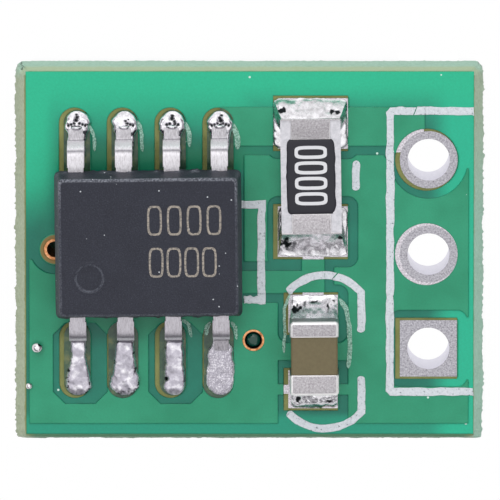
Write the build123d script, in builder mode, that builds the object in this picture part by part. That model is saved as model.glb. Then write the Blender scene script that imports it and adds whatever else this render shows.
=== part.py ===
from build123d import *
import os
from math import cos, radians, sin

# A lithium battery charger module: a small circuit board with an eight-lead charging chip,
# a sense resistor, a ceramic capacitor and a row of three plated holes for its wires.
# Millimetres. X runs along the board, Y towards the chip's back row of leads, Z up.
# The origin is the centre of the board's underside.

# Board: a glass-epoxy panel scored on both faces along its edges, then snapped apart
board_width = 10.0
board_thickness = 1.6
end_score_width = 0.22
side_score_width = 0.12
score_depth = 0.42
corner_break = 0.12

# Layers on each face of the laminate
copper_thickness = 0.035
mask_thickness = 0.025
ink_thickness = 0.015

# Rules of the copper and mask artwork
copper_clearance = 0.30
mask_growth = 0.065
mask_shift = 0.06
pour_left_margin = 0.33
pour_right_margin = 0.38
pour_front_margin = 0.43

# Header: three plated holes, the front one with a square land
hole_pitch = 2.54
hole_bore = 1.12
hole_plating = 0.06
round_land = 1.54
square_land = 1.52
header_from_resistor = 3.08
header_from_right = 1.42
header_off_middle = -0.03
supply_bend = 0.13
supply_lug_rise = 0.20
supply_lug_reach = 0.92
supply_trace_width = 0.99
supply_trace_off_pad = 0.535

# Vias: one beside the chip for the input, one to the ground below
via_bore = 0.43
via_plating = 0.03
via_land = 0.78
via_mask_opening = 0.58
input_via_from_chip = -2.495
input_via_y = 0.10
ground_via_from_chip = 2.785
ground_via_y = -2.35
plug_depth = 0.60
plug_sink = 0.06

# Chip: an eight-lead small-outline package, set a little off its pads and slightly turned
lead_pitch = 1.27
chip_pads_from_left = 3.485
chip_pad_length = 1.95
chip_pad_width = 0.70
chip_pad_reach = 2.87
chip_off_pads = 0.39
chip_turn = 0.6
moulding_length = 4.96
moulding_width = 3.9
moulding_height = 1.45
moulding_standoff = 0.10
moulding_draft = 11.0
moulding_edge_radius = 0.08
flash_reach = 0.08
dimple_radius = 0.36
dimple_depth = 0.05
dimple_from_end = 0.91
dimple_from_front = 1.14

# Leads: gull wings of tinned sheet
lead_span = 6.0
lead_thickness = 0.20
lead_root_width = 0.41
lead_shoulder_width = 0.457
lead_foot_width = 0.39
lead_height = 0.75
lead_foot_length = 0.42
lead_drop_slant = 0.07
lead_bend_radius = 0.20
lead_buried_length = 0.55
lead_root_length = 0.12

# Inside the moulding
paddle_length = 3.2
paddle_width = 2.1
die_length = 1.9
die_width = 1.4
die_thickness = 0.28
wire_diameter = 0.04
wire_loop = 0.16
wire_inset = 0.15
wire_landing = 0.16

# Solder: seat under every lead and terminal, and the joints of the chip
solder_seat = 0.03
joint_inner_reach = 2.30
joint_end_gap = 0.02
joint_widths = (0.64, 0.69, 0.54, 0.69, 0.66, 0.66, 0.66, 0.66)
joint_heights = (0.22, 0.24, 0.20, 0.14, 0.22, 0.22, 0.22, 0.22)
moat_width = 1.50
moat_chamfer = 0.34
moat_off_pad = 0.08
moat_back_reach = 1.02
moat_front_reach = 1.22

# Sense resistor, 1206 size
resistor_pads_from_chip = 4.365
resistor_pads_y = 2.03
resistor_pad_reach = 1.455
resistor_pad_length = 1.36
resistor_pad_width = 1.86
resistor_off_pads_x = -0.05
resistor_off_pads_y = 0.11
resistor_turn = 0.8
resistor_length = 3.10
resistor_width = 1.60
resistor_height = 0.55
resistor_wrap = 0.04
resistor_band = 0.55
resistor_patch_width = 1.04
resistor_coat_width = 1.30
resistor_film_width = 1.14
resistor_film_thickness = 0.015
resistor_coat_thickness = 0.045
resistor_solder_rise = 0.50
resistor_solder_brim = 0.03

# Ceramic capacitor, 0805 size
capacitor_pads_from_chip = 4.375
capacitor_pads_y = -2.655
capacitor_pad_reach = 1.02
capacitor_pad_length = 1.02
capacitor_pad_width = 1.32
capacitor_off_pads_x = 0.03
capacitor_turn = 0.4
capacitor_length = 2.00
capacitor_width = 1.31
capacitor_height = 1.20
capacitor_wrap = 0.035
capacitor_back_band = 0.42
capacitor_front_band = 0.56
capacitor_edge_radius = 0.07
capacitor_solder_rise = 0.72
thermal_spoke_width = 0.24

# Solder round an end of the resistor or capacitor: its shares of the bank, and its edges
solder_waist_rise = 0.35
solder_waist_spread = 0.14
solder_waist_toe = 0.40
solder_heel_slope = 0.06
solder_lip = 0.04
solder_corner = 0.10

# Traces
chip_trace_width = 0.56
chip_trace_y = -0.78
input_stub_width = 0.40
input_trace_width = 0.80
input_trace_below_hole = 1.03
pour_step_from_chip = 2.565
pour_step_y = -0.20

# White ink lines
ink_line_width = 0.21
header_ink_from_holes = 1.025
header_ink_back = 1.31
header_ink_front = 1.165
bracket_from_chip = 3.0
bracket_back = 1.31
bracket_front = -1.265
bracket_stub = 0.545
bracket_foot = 0.465
resistor_bar_from_pads = 1.15
resistor_bar_length = 0.82
resistor_bar_lift = 0.055
capacitor_ink_from_pads = 0.306
capacitor_ink_half_width = 0.975
capacitor_ink_back = 2.057
capacitor_ink_front = 2.085
capacitor_ink_bow = 0.455
capacitor_ink_back_end = 0.41
capacitor_ink_front_end = 0.535

# Stray beads of solder stuck to the mask
large_bead_radius = 0.15
large_bead_from_chip = -2.965
large_bead_y = -2.53
small_bead_radius = 0.09
small_bead_from_chip = -3.185
small_bead_y = -3.58
bead_flat = 0.3

# Levels, from the underside up
coat = copper_thickness + mask_thickness
laminate_bottom = coat
laminate_top = board_thickness - coat
pad_top = laminate_top + copper_thickness
low_mask_top = laminate_top + mask_thickness
seat_level = pad_top + solder_seat

# Places worked out from the sizes above
board_length = chip_pads_from_left + resistor_pads_from_chip + header_from_resistor + header_from_right
header_x = board_length / 2 - header_from_right
hole_ys = [header_off_middle + hole_pitch * n for n in (1, 0, -1)]
chip_x = chip_pads_from_left - board_length / 2
chip_y = chip_off_pads
pad_columns = [chip_x + lead_pitch * n for n in (-1.5, -0.5, 0.5, 1.5)]
resistor_pads_x = chip_x + resistor_pads_from_chip
resistor_x = resistor_pads_x + resistor_off_pads_x
resistor_y = resistor_pads_y + resistor_off_pads_y
capacitor_pads_x = chip_x + capacitor_pads_from_chip
capacitor_x = capacitor_pads_x + capacitor_off_pads_x
input_via_x = chip_x + input_via_from_chip
ground_via_x = chip_x + ground_via_from_chip
bracket_x = chip_x + bracket_from_chip
lead_level = seat_level + moulding_standoff + moulding_height / 2

os.makedirs("parts", exist_ok=True)


def save(piece, name):
    """Label a finished piece and write it under its own name."""
    piece.label = name
    export_step(piece, f"parts/{name}.step")


def block(left, front, right, back, mode=Mode.ADD):
    """Rectangle between two corners, in the sketch at hand."""
    with Locations(((left + right) / 2, (front + back) / 2)):
        Rectangle(right - left, back - front, mode=mode)


def turned_level(x, y, height, turn):
    """Horizontal plane at a component's centre, turned with the component."""
    across = (cos(radians(turn)), sin(radians(turn)), 0)
    return Plane(origin=(x, y, height), x_dir=across, z_dir=(0, 0, 1))


def pin_place(pin):
    """Column index and side of a pin: 1 to 4 along the front, 5 to 8 back along the far side."""
    return (pin - 1, -1) if pin <= 4 else (8 - pin, 1)


# Copper layout, drawn flat. The nets are drawn first, and the pour keeps clear of them.
with BuildSketch() as mask_outline:
    Rectangle(board_length - 2 * end_score_width, board_width - 2 * side_score_width)

with BuildSketch() as hole_lands:
    with Locations((header_x, hole_ys[0]), (header_x, hole_ys[1])):
        Circle(round_land / 2)
    with Locations((header_x, hole_ys[2])):
        Rectangle(square_land, square_land)

with BuildSketch() as via_lands:
    with Locations((input_via_x, input_via_y), (ground_via_x, ground_via_y)):
        Circle(via_land / 2)

with BuildSketch() as supply_net:
    with Locations((pad_columns[3], chip_pad_reach)):
        SlotOverall(chip_pad_length, chip_pad_width, rotation=90)
    with Locations((resistor_pads_x, resistor_pads_y + resistor_pad_reach)):
        Rectangle(resistor_pad_width, resistor_pad_length)
    trace_middle = chip_pad_reach + supply_trace_off_pad
    trace_front = trace_middle - supply_trace_width / 2
    trace_back = trace_middle + supply_trace_width / 2
    block(pad_columns[3], trace_front, header_x - round_land / 2, trace_back)
    lug_front = hole_ys[0] + supply_lug_rise
    block(header_x - supply_lug_reach, lug_front, header_x - supply_bend, trace_back)
    with Locations((header_x, hole_ys[0])):
        Circle(round_land / 2, mode=Mode.SUBTRACT)

with BuildSketch() as chip_net:
    with Locations((pad_columns[2], chip_pad_reach)):
        SlotOverall(chip_pad_length, chip_pad_width, rotation=90)
    with Locations((resistor_pads_x, resistor_pads_y - resistor_pad_reach)):
        Rectangle(resistor_pad_width, resistor_pad_length)
    with Locations((capacitor_pads_x, capacitor_pads_y + capacitor_pad_reach)):
        Rectangle(capacitor_pad_width, capacitor_pad_length)
    with BuildLine():
        Polyline(
            (pad_columns[2], chip_pad_reach - chip_pad_length / 2 + chip_pad_width / 2),
            (pad_columns[2], chip_trace_y),
            (capacitor_pads_x, chip_trace_y),
        )
    trace(line_width=chip_trace_width)
    block(
        capacitor_pads_x - chip_trace_width / 2,
        capacitor_pads_y + capacitor_pad_reach,
        capacitor_pads_x + chip_trace_width / 2,
        resistor_pads_y - resistor_pad_reach,
    )

with BuildSketch() as input_net:
    with Locations((pad_columns[0], chip_pad_reach)):
        SlotOverall(chip_pad_length, chip_pad_width, rotation=90)
    with BuildLine():
        Polyline(
            (input_via_x, input_via_y),
            (pad_columns[0], input_via_y + pad_columns[0] - input_via_x),
            (pad_columns[0], chip_pad_reach - chip_pad_length / 2 + chip_pad_width / 2),
        )
    trace(line_width=input_stub_width)
    with Locations((input_via_x, input_via_y)):
        Circle(via_land / 2, mode=Mode.SUBTRACT)

with BuildSketch() as loose_pads:
    with Locations(
        (pad_columns[1], chip_pad_reach),
        (pad_columns[0], -chip_pad_reach),
        (pad_columns[2], -chip_pad_reach),
    ):
        SlotOverall(chip_pad_length, chip_pad_width, rotation=90)

with BuildSketch() as net_clearance:
    for net in (supply_net, chip_net):
        add(net.sketch)
    with Locations((header_x, hole_ys[0])):
        Circle(round_land / 2)
    with Locations((header_x, hole_ys[2])):
        Rectangle(square_land, square_land)
    with Locations((input_via_x, input_via_y)):
        Circle(via_land / 2)
    offset(amount=copper_clearance)

with BuildSketch() as pad_moats:
    moat_y = (moat_back_reach - moat_front_reach) / 2 - chip_pad_reach
    with Locations((pad_columns[0] + moat_off_pad, moat_y), (pad_columns[2] + moat_off_pad, moat_y)):
        Rectangle(moat_width, moat_back_reach + moat_front_reach)
    chamfer(pad_moats.vertices(), moat_chamfer)

with BuildSketch() as ground_net:
    left = pour_left_margin - board_length / 2
    right = board_length / 2 - pour_right_margin
    front = pour_front_margin - board_width / 2
    pour_step_x = chip_x + pour_step_from_chip
    with BuildLine():
        Polyline(
            (left, front),
            (right, front),
            (right, trace_front - copper_clearance),
            (pour_step_x, trace_front - copper_clearance),
            (pour_step_x, pour_step_y),
            (left, pour_step_y),
            close=True,
        )
    make_face()
    add(net_clearance.sketch, mode=Mode.SUBTRACT)
    add(pad_moats.sketch, mode=Mode.SUBTRACT)
    spoke_y = capacitor_pads_y - capacitor_pad_reach
    pocket_left = capacitor_pads_x - capacitor_pad_width / 2 - copper_clearance
    pocket_right = capacitor_pads_x + capacitor_pad_width / 2 + copper_clearance
    pocket_back = spoke_y + capacitor_pad_length / 2 + copper_clearance
    block(pocket_left, front, pocket_right, pocket_back, mode=Mode.SUBTRACT)
    with Locations((capacitor_pads_x, spoke_y)):
        Rectangle(capacitor_pad_width, capacitor_pad_length)
    block(
        pocket_left - copper_clearance,
        spoke_y - thermal_spoke_width / 2,
        pocket_right + copper_clearance,
        spoke_y + thermal_spoke_width / 2,
    )
    with Locations((header_x, hole_ys[1])):
        Circle(round_land / 2, mode=Mode.SUBTRACT)
    with Locations((ground_via_x, ground_via_y)):
        Circle(via_land / 2, mode=Mode.SUBTRACT)

with BuildSketch() as top_copper:
    for net in (supply_net, chip_net, input_net, loose_pads, ground_net, hole_lands, via_lands):
        add(net.sketch)

# Where the mask steps up over the copper
with BuildSketch() as raised_mask:
    add(top_copper.sketch)
    offset(amount=mask_thickness)

with BuildSketch() as input_track:
    with BuildLine():
        track_y = hole_ys[2] - input_trace_below_hole
        bend = input_trace_below_hole
        Polyline(
            (header_x, hole_ys[2]),
            (header_x - bend, track_y),
            (input_via_x + bend, track_y),
            (input_via_x, hole_ys[2]),
            (input_via_x, input_via_y),
        )
    trace(line_width=input_trace_width)
    with Locations((header_x, hole_ys[2])):
        Rectangle(square_land, square_land, mode=Mode.SUBTRACT)
    with Locations((input_via_x, input_via_y)):
        Circle(via_land / 2, mode=Mode.SUBTRACT)

with BuildSketch() as bottom_clearance:
    add(input_track.sketch)
    with Locations((header_x, hole_ys[0])):
        Circle(round_land / 2)
    with Locations((header_x, hole_ys[2])):
        Rectangle(square_land, square_land)
    with Locations((input_via_x, input_via_y)):
        Circle(via_land / 2)
    offset(amount=copper_clearance)

with BuildSketch() as bottom_ground:
    block(left, front, right, -front)
    add(bottom_clearance.sketch, mode=Mode.SUBTRACT)
    with Locations((header_x, hole_ys[1])):
        Circle(round_land / 2, mode=Mode.SUBTRACT)
    with Locations((ground_via_x, ground_via_y)):
        Circle(via_land / 2, mode=Mode.SUBTRACT)

with BuildSketch() as bottom_copper:
    for net in (input_track, bottom_ground, hole_lands, via_lands):
        add(net.sketch)

# Openings in the mask: each is its land grown all round, and printed a little to the left
with BuildSketch() as hole_openings:
    with Locations((header_x - mask_shift, hole_ys[0]), (header_x - mask_shift, hole_ys[1])):
        Circle(round_land / 2 + mask_growth)
    with Locations((header_x - mask_shift, hole_ys[2])):
        Rectangle(square_land + 2 * mask_growth, square_land + 2 * mask_growth)

with BuildSketch() as part_openings:
    for side in (-1, 1):
        with Locations(*[(x - mask_shift, side * chip_pad_reach) for x in pad_columns]):
            SlotOverall(chip_pad_length + 2 * mask_growth, chip_pad_width + 2 * mask_growth, rotation=90)
        with Locations((resistor_pads_x - mask_shift, resistor_pads_y + side * resistor_pad_reach)):
            Rectangle(resistor_pad_width + 2 * mask_growth, resistor_pad_length + 2 * mask_growth)
        with Locations((capacitor_pads_x - mask_shift, capacitor_pads_y + side * capacitor_pad_reach)):
            Rectangle(capacitor_pad_width + 2 * mask_growth, capacitor_pad_length + 2 * mask_growth)
    with Locations((input_via_x, input_via_y), (ground_via_x, ground_via_y)):
        Circle(via_mask_opening / 2)

# Board: the laminate, bevelled by the scores, with the snapped web at mid height
with BuildPart() as board_laminate:
    web_bottom = laminate_bottom + score_depth
    web_top = laminate_top - score_depth
    for low, high, low_scored, high_scored in (
        (laminate_bottom, web_bottom, True, False),
        (web_bottom, web_top, False, False),
        (web_top, laminate_top, False, True),
    ):
        for level, scored in ((low, low_scored), (high, high_scored)):
            with BuildSketch(Plane.XY.offset(level)) as slice_outline:
                Rectangle(
                    board_length - 2 * end_score_width * scored,
                    board_width - 2 * side_score_width * scored,
                )
                chamfer(slice_outline.vertices(), corner_break)
        loft(ruled=True)
    with Locations(*[(header_x, y, laminate_top) for y in hole_ys]):
        Hole(hole_bore / 2 + hole_plating)
    with Locations((input_via_x, input_via_y, laminate_top), (ground_via_x, ground_via_y, laminate_top)):
        Hole(via_bore / 2 + via_plating)
save(board_laminate.part, "board_laminate")


def copper(net, level, name):
    """Copper foil of one net, etched to its sketch."""
    with BuildPart() as foil:
        with BuildSketch(Plane.XY.offset(level)):
            add(net.sketch)
        extrude(amount=copper_thickness)
    save(foil.part, name)


copper(supply_net, laminate_top, "top_supply_copper")
copper(chip_net, laminate_top, "top_chip_copper")
copper(input_net, laminate_top, "top_input_copper")
copper(ground_net, laminate_top, "top_ground_copper")
copper(loose_pads, laminate_top, "chip_loose_pads")
copper(input_track, mask_thickness, "bottom_input_copper")
copper(bottom_ground, mask_thickness, "bottom_ground_copper")


def plated_hole(x, y, bore, plating, land, name, square=False):
    """Barrel of plating with a land on each face."""
    with BuildPart() as barrel:
        with BuildSketch(Plane.XY.offset(mask_thickness)):
            with Locations((x, y)):
                Circle(bore / 2 + plating)
        extrude(amount=pad_top - mask_thickness)
        for level in (mask_thickness, laminate_top):
            with BuildSketch(Plane.XY.offset(level)):
                with Locations((x, y)):
                    if square:
                        Rectangle(land, land)
                    else:
                        Circle(land / 2)
            extrude(amount=copper_thickness)
        with Locations((x, y, pad_top)):
            Hole(bore / 2)
    save(barrel.part, name)


plated_hole(header_x, hole_ys[0], hole_bore, hole_plating, round_land, "barrel_1")
plated_hole(header_x, hole_ys[1], hole_bore, hole_plating, round_land, "barrel_2")
plated_hole(header_x, hole_ys[2], hole_bore, hole_plating, square_land, "barrel_3", square=True)
plated_hole(input_via_x, input_via_y, via_bore, via_plating, via_land, "input_via")
plated_hole(ground_via_x, ground_via_y, via_bore, via_plating, via_land, "ground_via")

# Mask ink that plugs the ground via, a little below its rim
with BuildPart() as via_plug:
    with BuildSketch(Plane.XY.offset(pad_top - plug_sink)):
        with Locations((ground_via_x, ground_via_y)):
            Circle(via_bore / 2)
    extrude(amount=-plug_depth)
save(via_plug.part, "ground_via_plug")

# Solder mask: a thin even coat that steps up over the copper
with BuildPart() as solder_mask_top:
    with BuildSketch(Plane.XY.offset(laminate_top)):
        add(mask_outline.sketch)
    extrude(amount=mask_thickness)
    with BuildSketch(Plane.XY.offset(laminate_top)):
        add(raised_mask.sketch)
    extrude(amount=coat)
    with BuildSketch(Plane.XY.offset(laminate_top)):
        add(top_copper.sketch)
    extrude(amount=copper_thickness, mode=Mode.SUBTRACT)
    with BuildSketch(Plane.XY.offset(laminate_top)):
        add(hole_openings.sketch)
        add(part_openings.sketch)
    extrude(amount=coat, mode=Mode.SUBTRACT)
save(solder_mask_top.part, "solder_mask_top")

with BuildPart() as solder_mask_bottom:
    with BuildSketch(Plane.XY.offset(laminate_bottom)):
        add(mask_outline.sketch)
    extrude(amount=-mask_thickness)
    with BuildSketch(Plane.XY.offset(laminate_bottom)):
        add(bottom_copper.sketch)
        offset(amount=mask_thickness)
    extrude(amount=-coat)
    with BuildSketch(Plane.XY.offset(laminate_bottom)):
        add(bottom_copper.sketch)
    extrude(amount=-copper_thickness, mode=Mode.SUBTRACT)
    with BuildSketch(Plane.XY.offset(laminate_bottom)):
        add(hole_openings.sketch)
    extrude(amount=-coat, mode=Mode.SUBTRACT)
save(solder_mask_bottom.part, "solder_mask_bottom")

# White ink lines, printed over the steps of the mask
with BuildSketch() as header_ink:
    with BuildLine():
        ink_x = header_x - header_ink_from_holes
        ink_end = board_length / 2 - end_score_width
        Polyline(
            (ink_end, hole_ys[0] + header_ink_back),
            (ink_x, hole_ys[0] + header_ink_back),
            (ink_x, hole_ys[2] - header_ink_front),
            (ink_end, hole_ys[2] - header_ink_front),
        )
    trace(line_width=ink_line_width)

with BuildSketch() as bracket_ink:
    with BuildLine():
        Polyline(
            (bracket_x - bracket_stub, bracket_back),
            (bracket_x, bracket_back),
            (bracket_x, bracket_front),
            (bracket_x - bracket_foot, bracket_front),
        )
    trace(line_width=ink_line_width)

with BuildSketch() as resistor_bar_ink:
    with Locations((resistor_pads_x + resistor_bar_from_pads, resistor_pads_y + resistor_bar_lift)):
        SlotOverall(resistor_bar_length, ink_line_width, rotation=90)

capacitor_ink_x = capacitor_pads_x + capacitor_ink_from_pads
capacitor_ink_left = capacitor_ink_x - capacitor_ink_half_width
capacitor_ink_right = capacitor_ink_x + capacitor_ink_half_width
ink_back_end = capacitor_pads_y + capacitor_ink_back_end
ink_front_end = capacitor_pads_y - capacitor_ink_front_end
with BuildSketch() as capacitor_back_ink:
    with BuildLine():
        bow_back = capacitor_pads_y + capacitor_ink_back
        bow_foot = bow_back - capacitor_ink_bow
        ThreePointArc(
            (capacitor_ink_left, bow_foot), (capacitor_ink_x, bow_back), (capacitor_ink_right, bow_foot)
        )
        Line((capacitor_ink_right, bow_foot), (capacitor_ink_right, ink_back_end))
    trace(line_width=ink_line_width)

with BuildSketch() as capacitor_front_ink:
    with BuildLine():
        bow_front = capacitor_pads_y - capacitor_ink_front
        bow_foot = bow_front + capacitor_ink_bow
        ThreePointArc(
            (capacitor_ink_left, bow_foot), (capacitor_ink_x, bow_front), (capacitor_ink_right, bow_foot)
        )
        Line((capacitor_ink_right, bow_foot), (capacitor_ink_right, ink_front_end))
    trace(line_width=ink_line_width)

for lines, name in (
    (header_ink, "ink_header_outline"),
    (bracket_ink, "ink_chip_bracket"),
    (resistor_bar_ink, "ink_resistor_bar"),
    (capacitor_back_ink, "ink_capacitor_back"),
    (capacitor_front_ink, "ink_capacitor_front"),
):
    with BuildPart() as ink:
        with BuildSketch(Plane.XY.offset(low_mask_top)):
            add(lines.sketch)
        extrude(amount=ink_thickness)
        with BuildSketch(Plane.XY.offset(low_mask_top)):
            add(top_copper.sketch)
            offset(amount=mask_thickness + ink_thickness)
            add(lines.sketch, mode=Mode.INTERSECT)
        extrude(amount=copper_thickness + ink_thickness)
        with BuildSketch(Plane.XY.offset(laminate_top)):
            add(top_copper.sketch)
        extrude(amount=copper_thickness, mode=Mode.SUBTRACT)
        add(solder_mask_top.part, mode=Mode.SUBTRACT)
    save(ink.part, name)


def chip_level(height):
    """Horizontal plane at the chip's centre, turned with the chip."""
    return turned_level(chip_x, chip_y, height, chip_turn)


def lead_plane(pin, height, upright):
    """Plane at a lead with x pointing outwards, standing on edge or lying flat."""
    column, side = pin_place(pin)
    level = chip_level(height)
    origin = level.from_local_coords(((column - 1.5) * lead_pitch, 0, 0))
    outward = level.y_dir * side
    upward = Vector(0, 0, 1)
    return Plane(origin=origin, x_dir=outward, z_dir=outward.cross(upward) if upright else upward)


# Leads: sheet bent down and out again, narrower at the root and the foot than at the shoulder
lead_drop_end = lead_span / 2 - lead_foot_length
lead_drop_start = lead_drop_end - lead_drop_slant
leads = []
for pin in range(1, 9):
    with BuildPart() as lead:
        with BuildSketch(lead_plane(pin, seat_level + lead_thickness / 2, upright=True)):
            with BuildLine():
                FilletPolyline(
                    (moulding_width / 2 - lead_buried_length, lead_height),
                    (lead_drop_start, lead_height),
                    (lead_drop_end, 0),
                    (lead_span / 2, 0),
                    radius=lead_bend_radius,
                )
            trace(line_width=lead_thickness)
        extrude(amount=lead_shoulder_width / 2, both=True)
        with BuildSketch(lead_plane(pin, seat_level, upright=False)):
            root_end = moulding_width / 2 + lead_root_length
            foot_start = lead_drop_end + lead_thickness / 2
            block(0, -lead_root_width / 2, root_end, lead_root_width / 2)
            block(root_end, -lead_shoulder_width / 2, foot_start, lead_shoulder_width / 2)
            block(foot_start, -lead_foot_width / 2, lead_span, lead_foot_width / 2)
        extrude(amount=lead_height + lead_thickness, mode=Mode.INTERSECT)
    leads.append(lead.part)
    save(lead.part, f"chip_lead_{pin}")

# Inside the chip: the die on its paddle, and a bond wire from it to each lead
with BuildPart() as paddle:
    with BuildSketch(chip_level(lead_level - lead_thickness / 2)):
        Rectangle(paddle_length, paddle_width)
    extrude(amount=lead_thickness)
save(paddle.part, "chip_die_paddle")

with BuildPart() as die:
    with BuildSketch(chip_level(lead_level + lead_thickness / 2)):
        Rectangle(die_length, die_width)
    extrude(amount=die_thickness)
save(die.part, "chip_die")

with BuildPart() as bond_wires:
    die_top = lead_level + lead_thickness / 2 + die_thickness
    lead_top = lead_level + lead_thickness / 2
    for pin in range(1, 9):
        column, side = pin_place(pin)
        level = chip_level(0)
        reach = moulding_width / 2 - lead_buried_length + wire_landing
        start = (die_length / 2 - wire_inset) * (column - 1.5) / 1.5
        ends = ((start, side * (die_width / 2 - wire_inset)), ((column - 1.5) * lead_pitch, side * reach))
        foot, tip = [level.from_local_coords((x, y, 0)) for x, y in ends]
        foot.Z, tip.Z = die_top, lead_top
        crown = (foot + tip) / 2
        crown.Z = die_top + wire_loop
        with BuildLine() as loop:
            ThreePointArc(foot, crown, tip)
        with BuildSketch(Plane(origin=foot, z_dir=loop.edge() % 0)):
            Circle(wire_diameter / 2)
        sweep(path=loop.edge())
    add(die.part, mode=Mode.SUBTRACT)
    for lead_part in leads:
        add(lead_part, mode=Mode.SUBTRACT)
save(bond_wires.part, "chip_bond_wires")

# Moulding: two drafted halves that meet at the leads, with flash and a round pin mark
with BuildPart() as chip_moulding:
    parting_low = lead_level - lead_thickness / 2
    parting_high = lead_level + lead_thickness / 2
    moulding_bottom = seat_level + moulding_standoff
    moulding_top = moulding_bottom + moulding_height
    with BuildSketch(chip_level(parting_low)):
        Rectangle(moulding_length, moulding_width)
    extrude(amount=lead_thickness)
    with BuildSketch(chip_level(parting_high)):
        Rectangle(moulding_length, moulding_width)
    extrude(amount=moulding_top - parting_high, taper=moulding_draft)
    fillet(chip_moulding.faces().sort_by(Axis.Z)[-1].edges(), moulding_edge_radius)
    with BuildSketch(chip_level(parting_low)):
        Rectangle(moulding_length, moulding_width)
    extrude(amount=moulding_bottom - parting_low, taper=moulding_draft)
    with BuildSketch(chip_level(parting_low)):
        Rectangle(3 * lead_pitch, moulding_width + 2 * flash_reach)
    extrude(amount=lead_thickness)
    with BuildSketch(chip_level(moulding_top)):
        with Locations((dimple_from_end - moulding_length / 2, dimple_from_front - moulding_width / 2)):
            Circle(dimple_radius)
    extrude(amount=-dimple_depth, mode=Mode.SUBTRACT)
    for inner in (paddle.part, die.part, bond_wires.part, *leads):
        add(inner, mode=Mode.SUBTRACT)
save(chip_moulding.part, "chip_moulding")

# Solder joints of the chip: a mound along each pad that wraps the foot of the lead
for pin in range(1, 9):
    column, side = pin_place(pin)
    width, height = joint_widths[pin - 1], joint_heights[pin - 1]
    crown_radius = (width**2 / 4 + height**2) / (2 * height)
    axis_level = pad_top + height - crown_radius
    inner_end = chip_y + side * joint_inner_reach
    outer_end = side * (chip_pad_reach + chip_pad_length / 2 - joint_end_gap)
    low, high = sorted((inner_end, outer_end))
    with BuildPart() as joint:
        axis_plane = Plane(origin=(pad_columns[column], 0, axis_level), x_dir=(0, 1, 0), z_dir=(1, 0, 0))
        with BuildSketch(axis_plane):
            with BuildLine():
                CenterArc((low + width / 2, 0), crown_radius, 90, 90)
                CenterArc((high - width / 2, 0), crown_radius, 0, 90)
                Line((low + width / 2, crown_radius), (high - width / 2, crown_radius))
                Line((low + width / 2 - crown_radius, 0), (high - width / 2 + crown_radius, 0))
            make_face()
        revolve(axis=Axis(origin=axis_plane.origin, direction=(0, 1, 0)))
        split(bisect_by=Plane.XY.offset(pad_top), keep=Keep.TOP)
        add(leads[pin - 1], mode=Mode.SUBTRACT)
    save(joint.part, f"chip_solder_{pin}")


def resistor_level(height):
    """Horizontal plane at the resistor's centre, turned with it, above its seat."""
    return turned_level(resistor_x, resistor_y, seat_level + height, resistor_turn)


# Resistor: a ceramic chip with a film under a black coat, and a wrapped terminal at each end
inner_length = resistor_length - 2 * resistor_band
with BuildPart() as resistor_ceramic:
    with BuildSketch(resistor_level(resistor_wrap)):
        Rectangle(resistor_width, resistor_length - 2 * resistor_wrap)
    extrude(amount=resistor_height - 2 * resistor_wrap)
save(resistor_ceramic.part, "resistor_ceramic")

with BuildPart() as resistor_film:
    with BuildSketch(resistor_level(resistor_height - resistor_wrap)):
        Rectangle(resistor_film_width, inner_length)
    extrude(amount=resistor_film_thickness)
save(resistor_film.part, "resistor_film")

with BuildPart() as resistor_coat:
    with BuildSketch(resistor_level(resistor_height - resistor_wrap)):
        Rectangle(resistor_coat_width, inner_length)
    extrude(amount=resistor_coat_thickness)
    add(resistor_film.part, mode=Mode.SUBTRACT)
save(resistor_coat.part, "resistor_coat")

resistor_ends = []
for side, end in ((1, "back"), (-1, "front")):
    with BuildPart() as terminal:
        tip = side * resistor_length / 2
        with BuildSketch(resistor_level(0)):
            block(-resistor_width / 2, tip - side * resistor_wrap, resistor_width / 2, tip)
        extrude(amount=resistor_height)
        with BuildSketch(resistor_level(0)):
            block(-resistor_width / 2, tip - side * resistor_band, resistor_width / 2, tip)
        extrude(amount=resistor_wrap)
        with BuildSketch(resistor_level(resistor_height)):
            block(-resistor_patch_width / 2, tip - side * resistor_band, resistor_patch_width / 2, tip)
        extrude(amount=-resistor_wrap)
    resistor_ends.append(terminal.part)
    save(terminal.part, f"resistor_terminal_{end}")


def solder_bank(pad, pad_size, tip, size, rise, brim, side):
    """Levels of the solder round one end of a component: pad, waist and brim."""
    pad_x, pad_y = pad
    tip_x, tip_y = tip
    pad_width, pad_length = pad_size
    toe = abs(pad_y + side * pad_length / 2 - tip_y)
    heel_y = pad_y - side * pad_length / 2
    gap = joint_end_gap
    waist_width = size + 2 * solder_waist_spread * (pad_width - size) + brim
    waist_toe = tip_y + side * toe * solder_waist_toe
    return (
        (0, pad_x, pad_width - 2 * gap, heel_y + side * gap, tip_y + side * (toe - gap)),
        (rise * solder_waist_rise, tip_x, waist_width, heel_y + side * solder_heel_slope, waist_toe),
        (rise, tip_x, size + 2 * brim, heel_y + side * 2 * solder_heel_slope, tip_y + side * solder_lip),
    )


def solder_joint(bank, turn, bodies, name):
    """Solder lofted through the levels of a bank, turned, less the component that it wraps."""
    with BuildPart() as joint:
        for level, x, width, heel, toe in bank:
            with BuildSketch(Plane.XY.offset(pad_top + level)):
                with Locations((x, (heel + toe) / 2)):
                    RectangleRounded(width, abs(toe - heel), solder_corner, rotation=turn)
        loft(ruled=True)
        for body in bodies:
            add(body, mode=Mode.SUBTRACT)
    save(joint.part, name)


for side, end in ((1, "back"), (-1, "front")):
    bank = solder_bank(
        (resistor_pads_x, resistor_pads_y + side * resistor_pad_reach),
        (resistor_pad_width, resistor_pad_length),
        (resistor_x, resistor_y + side * resistor_length / 2),
        resistor_width,
        resistor_solder_rise,
        resistor_solder_brim,
        side,
    )
    solder_joint(bank, resistor_turn, (resistor_ceramic.part, *resistor_ends), f"resistor_solder_{end}")


def capacitor_level(height):
    """Horizontal plane at the capacitor's centre, turned with it, above its seat."""
    return turned_level(capacitor_x, capacitor_pads_y, seat_level + height, capacitor_turn)


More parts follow.
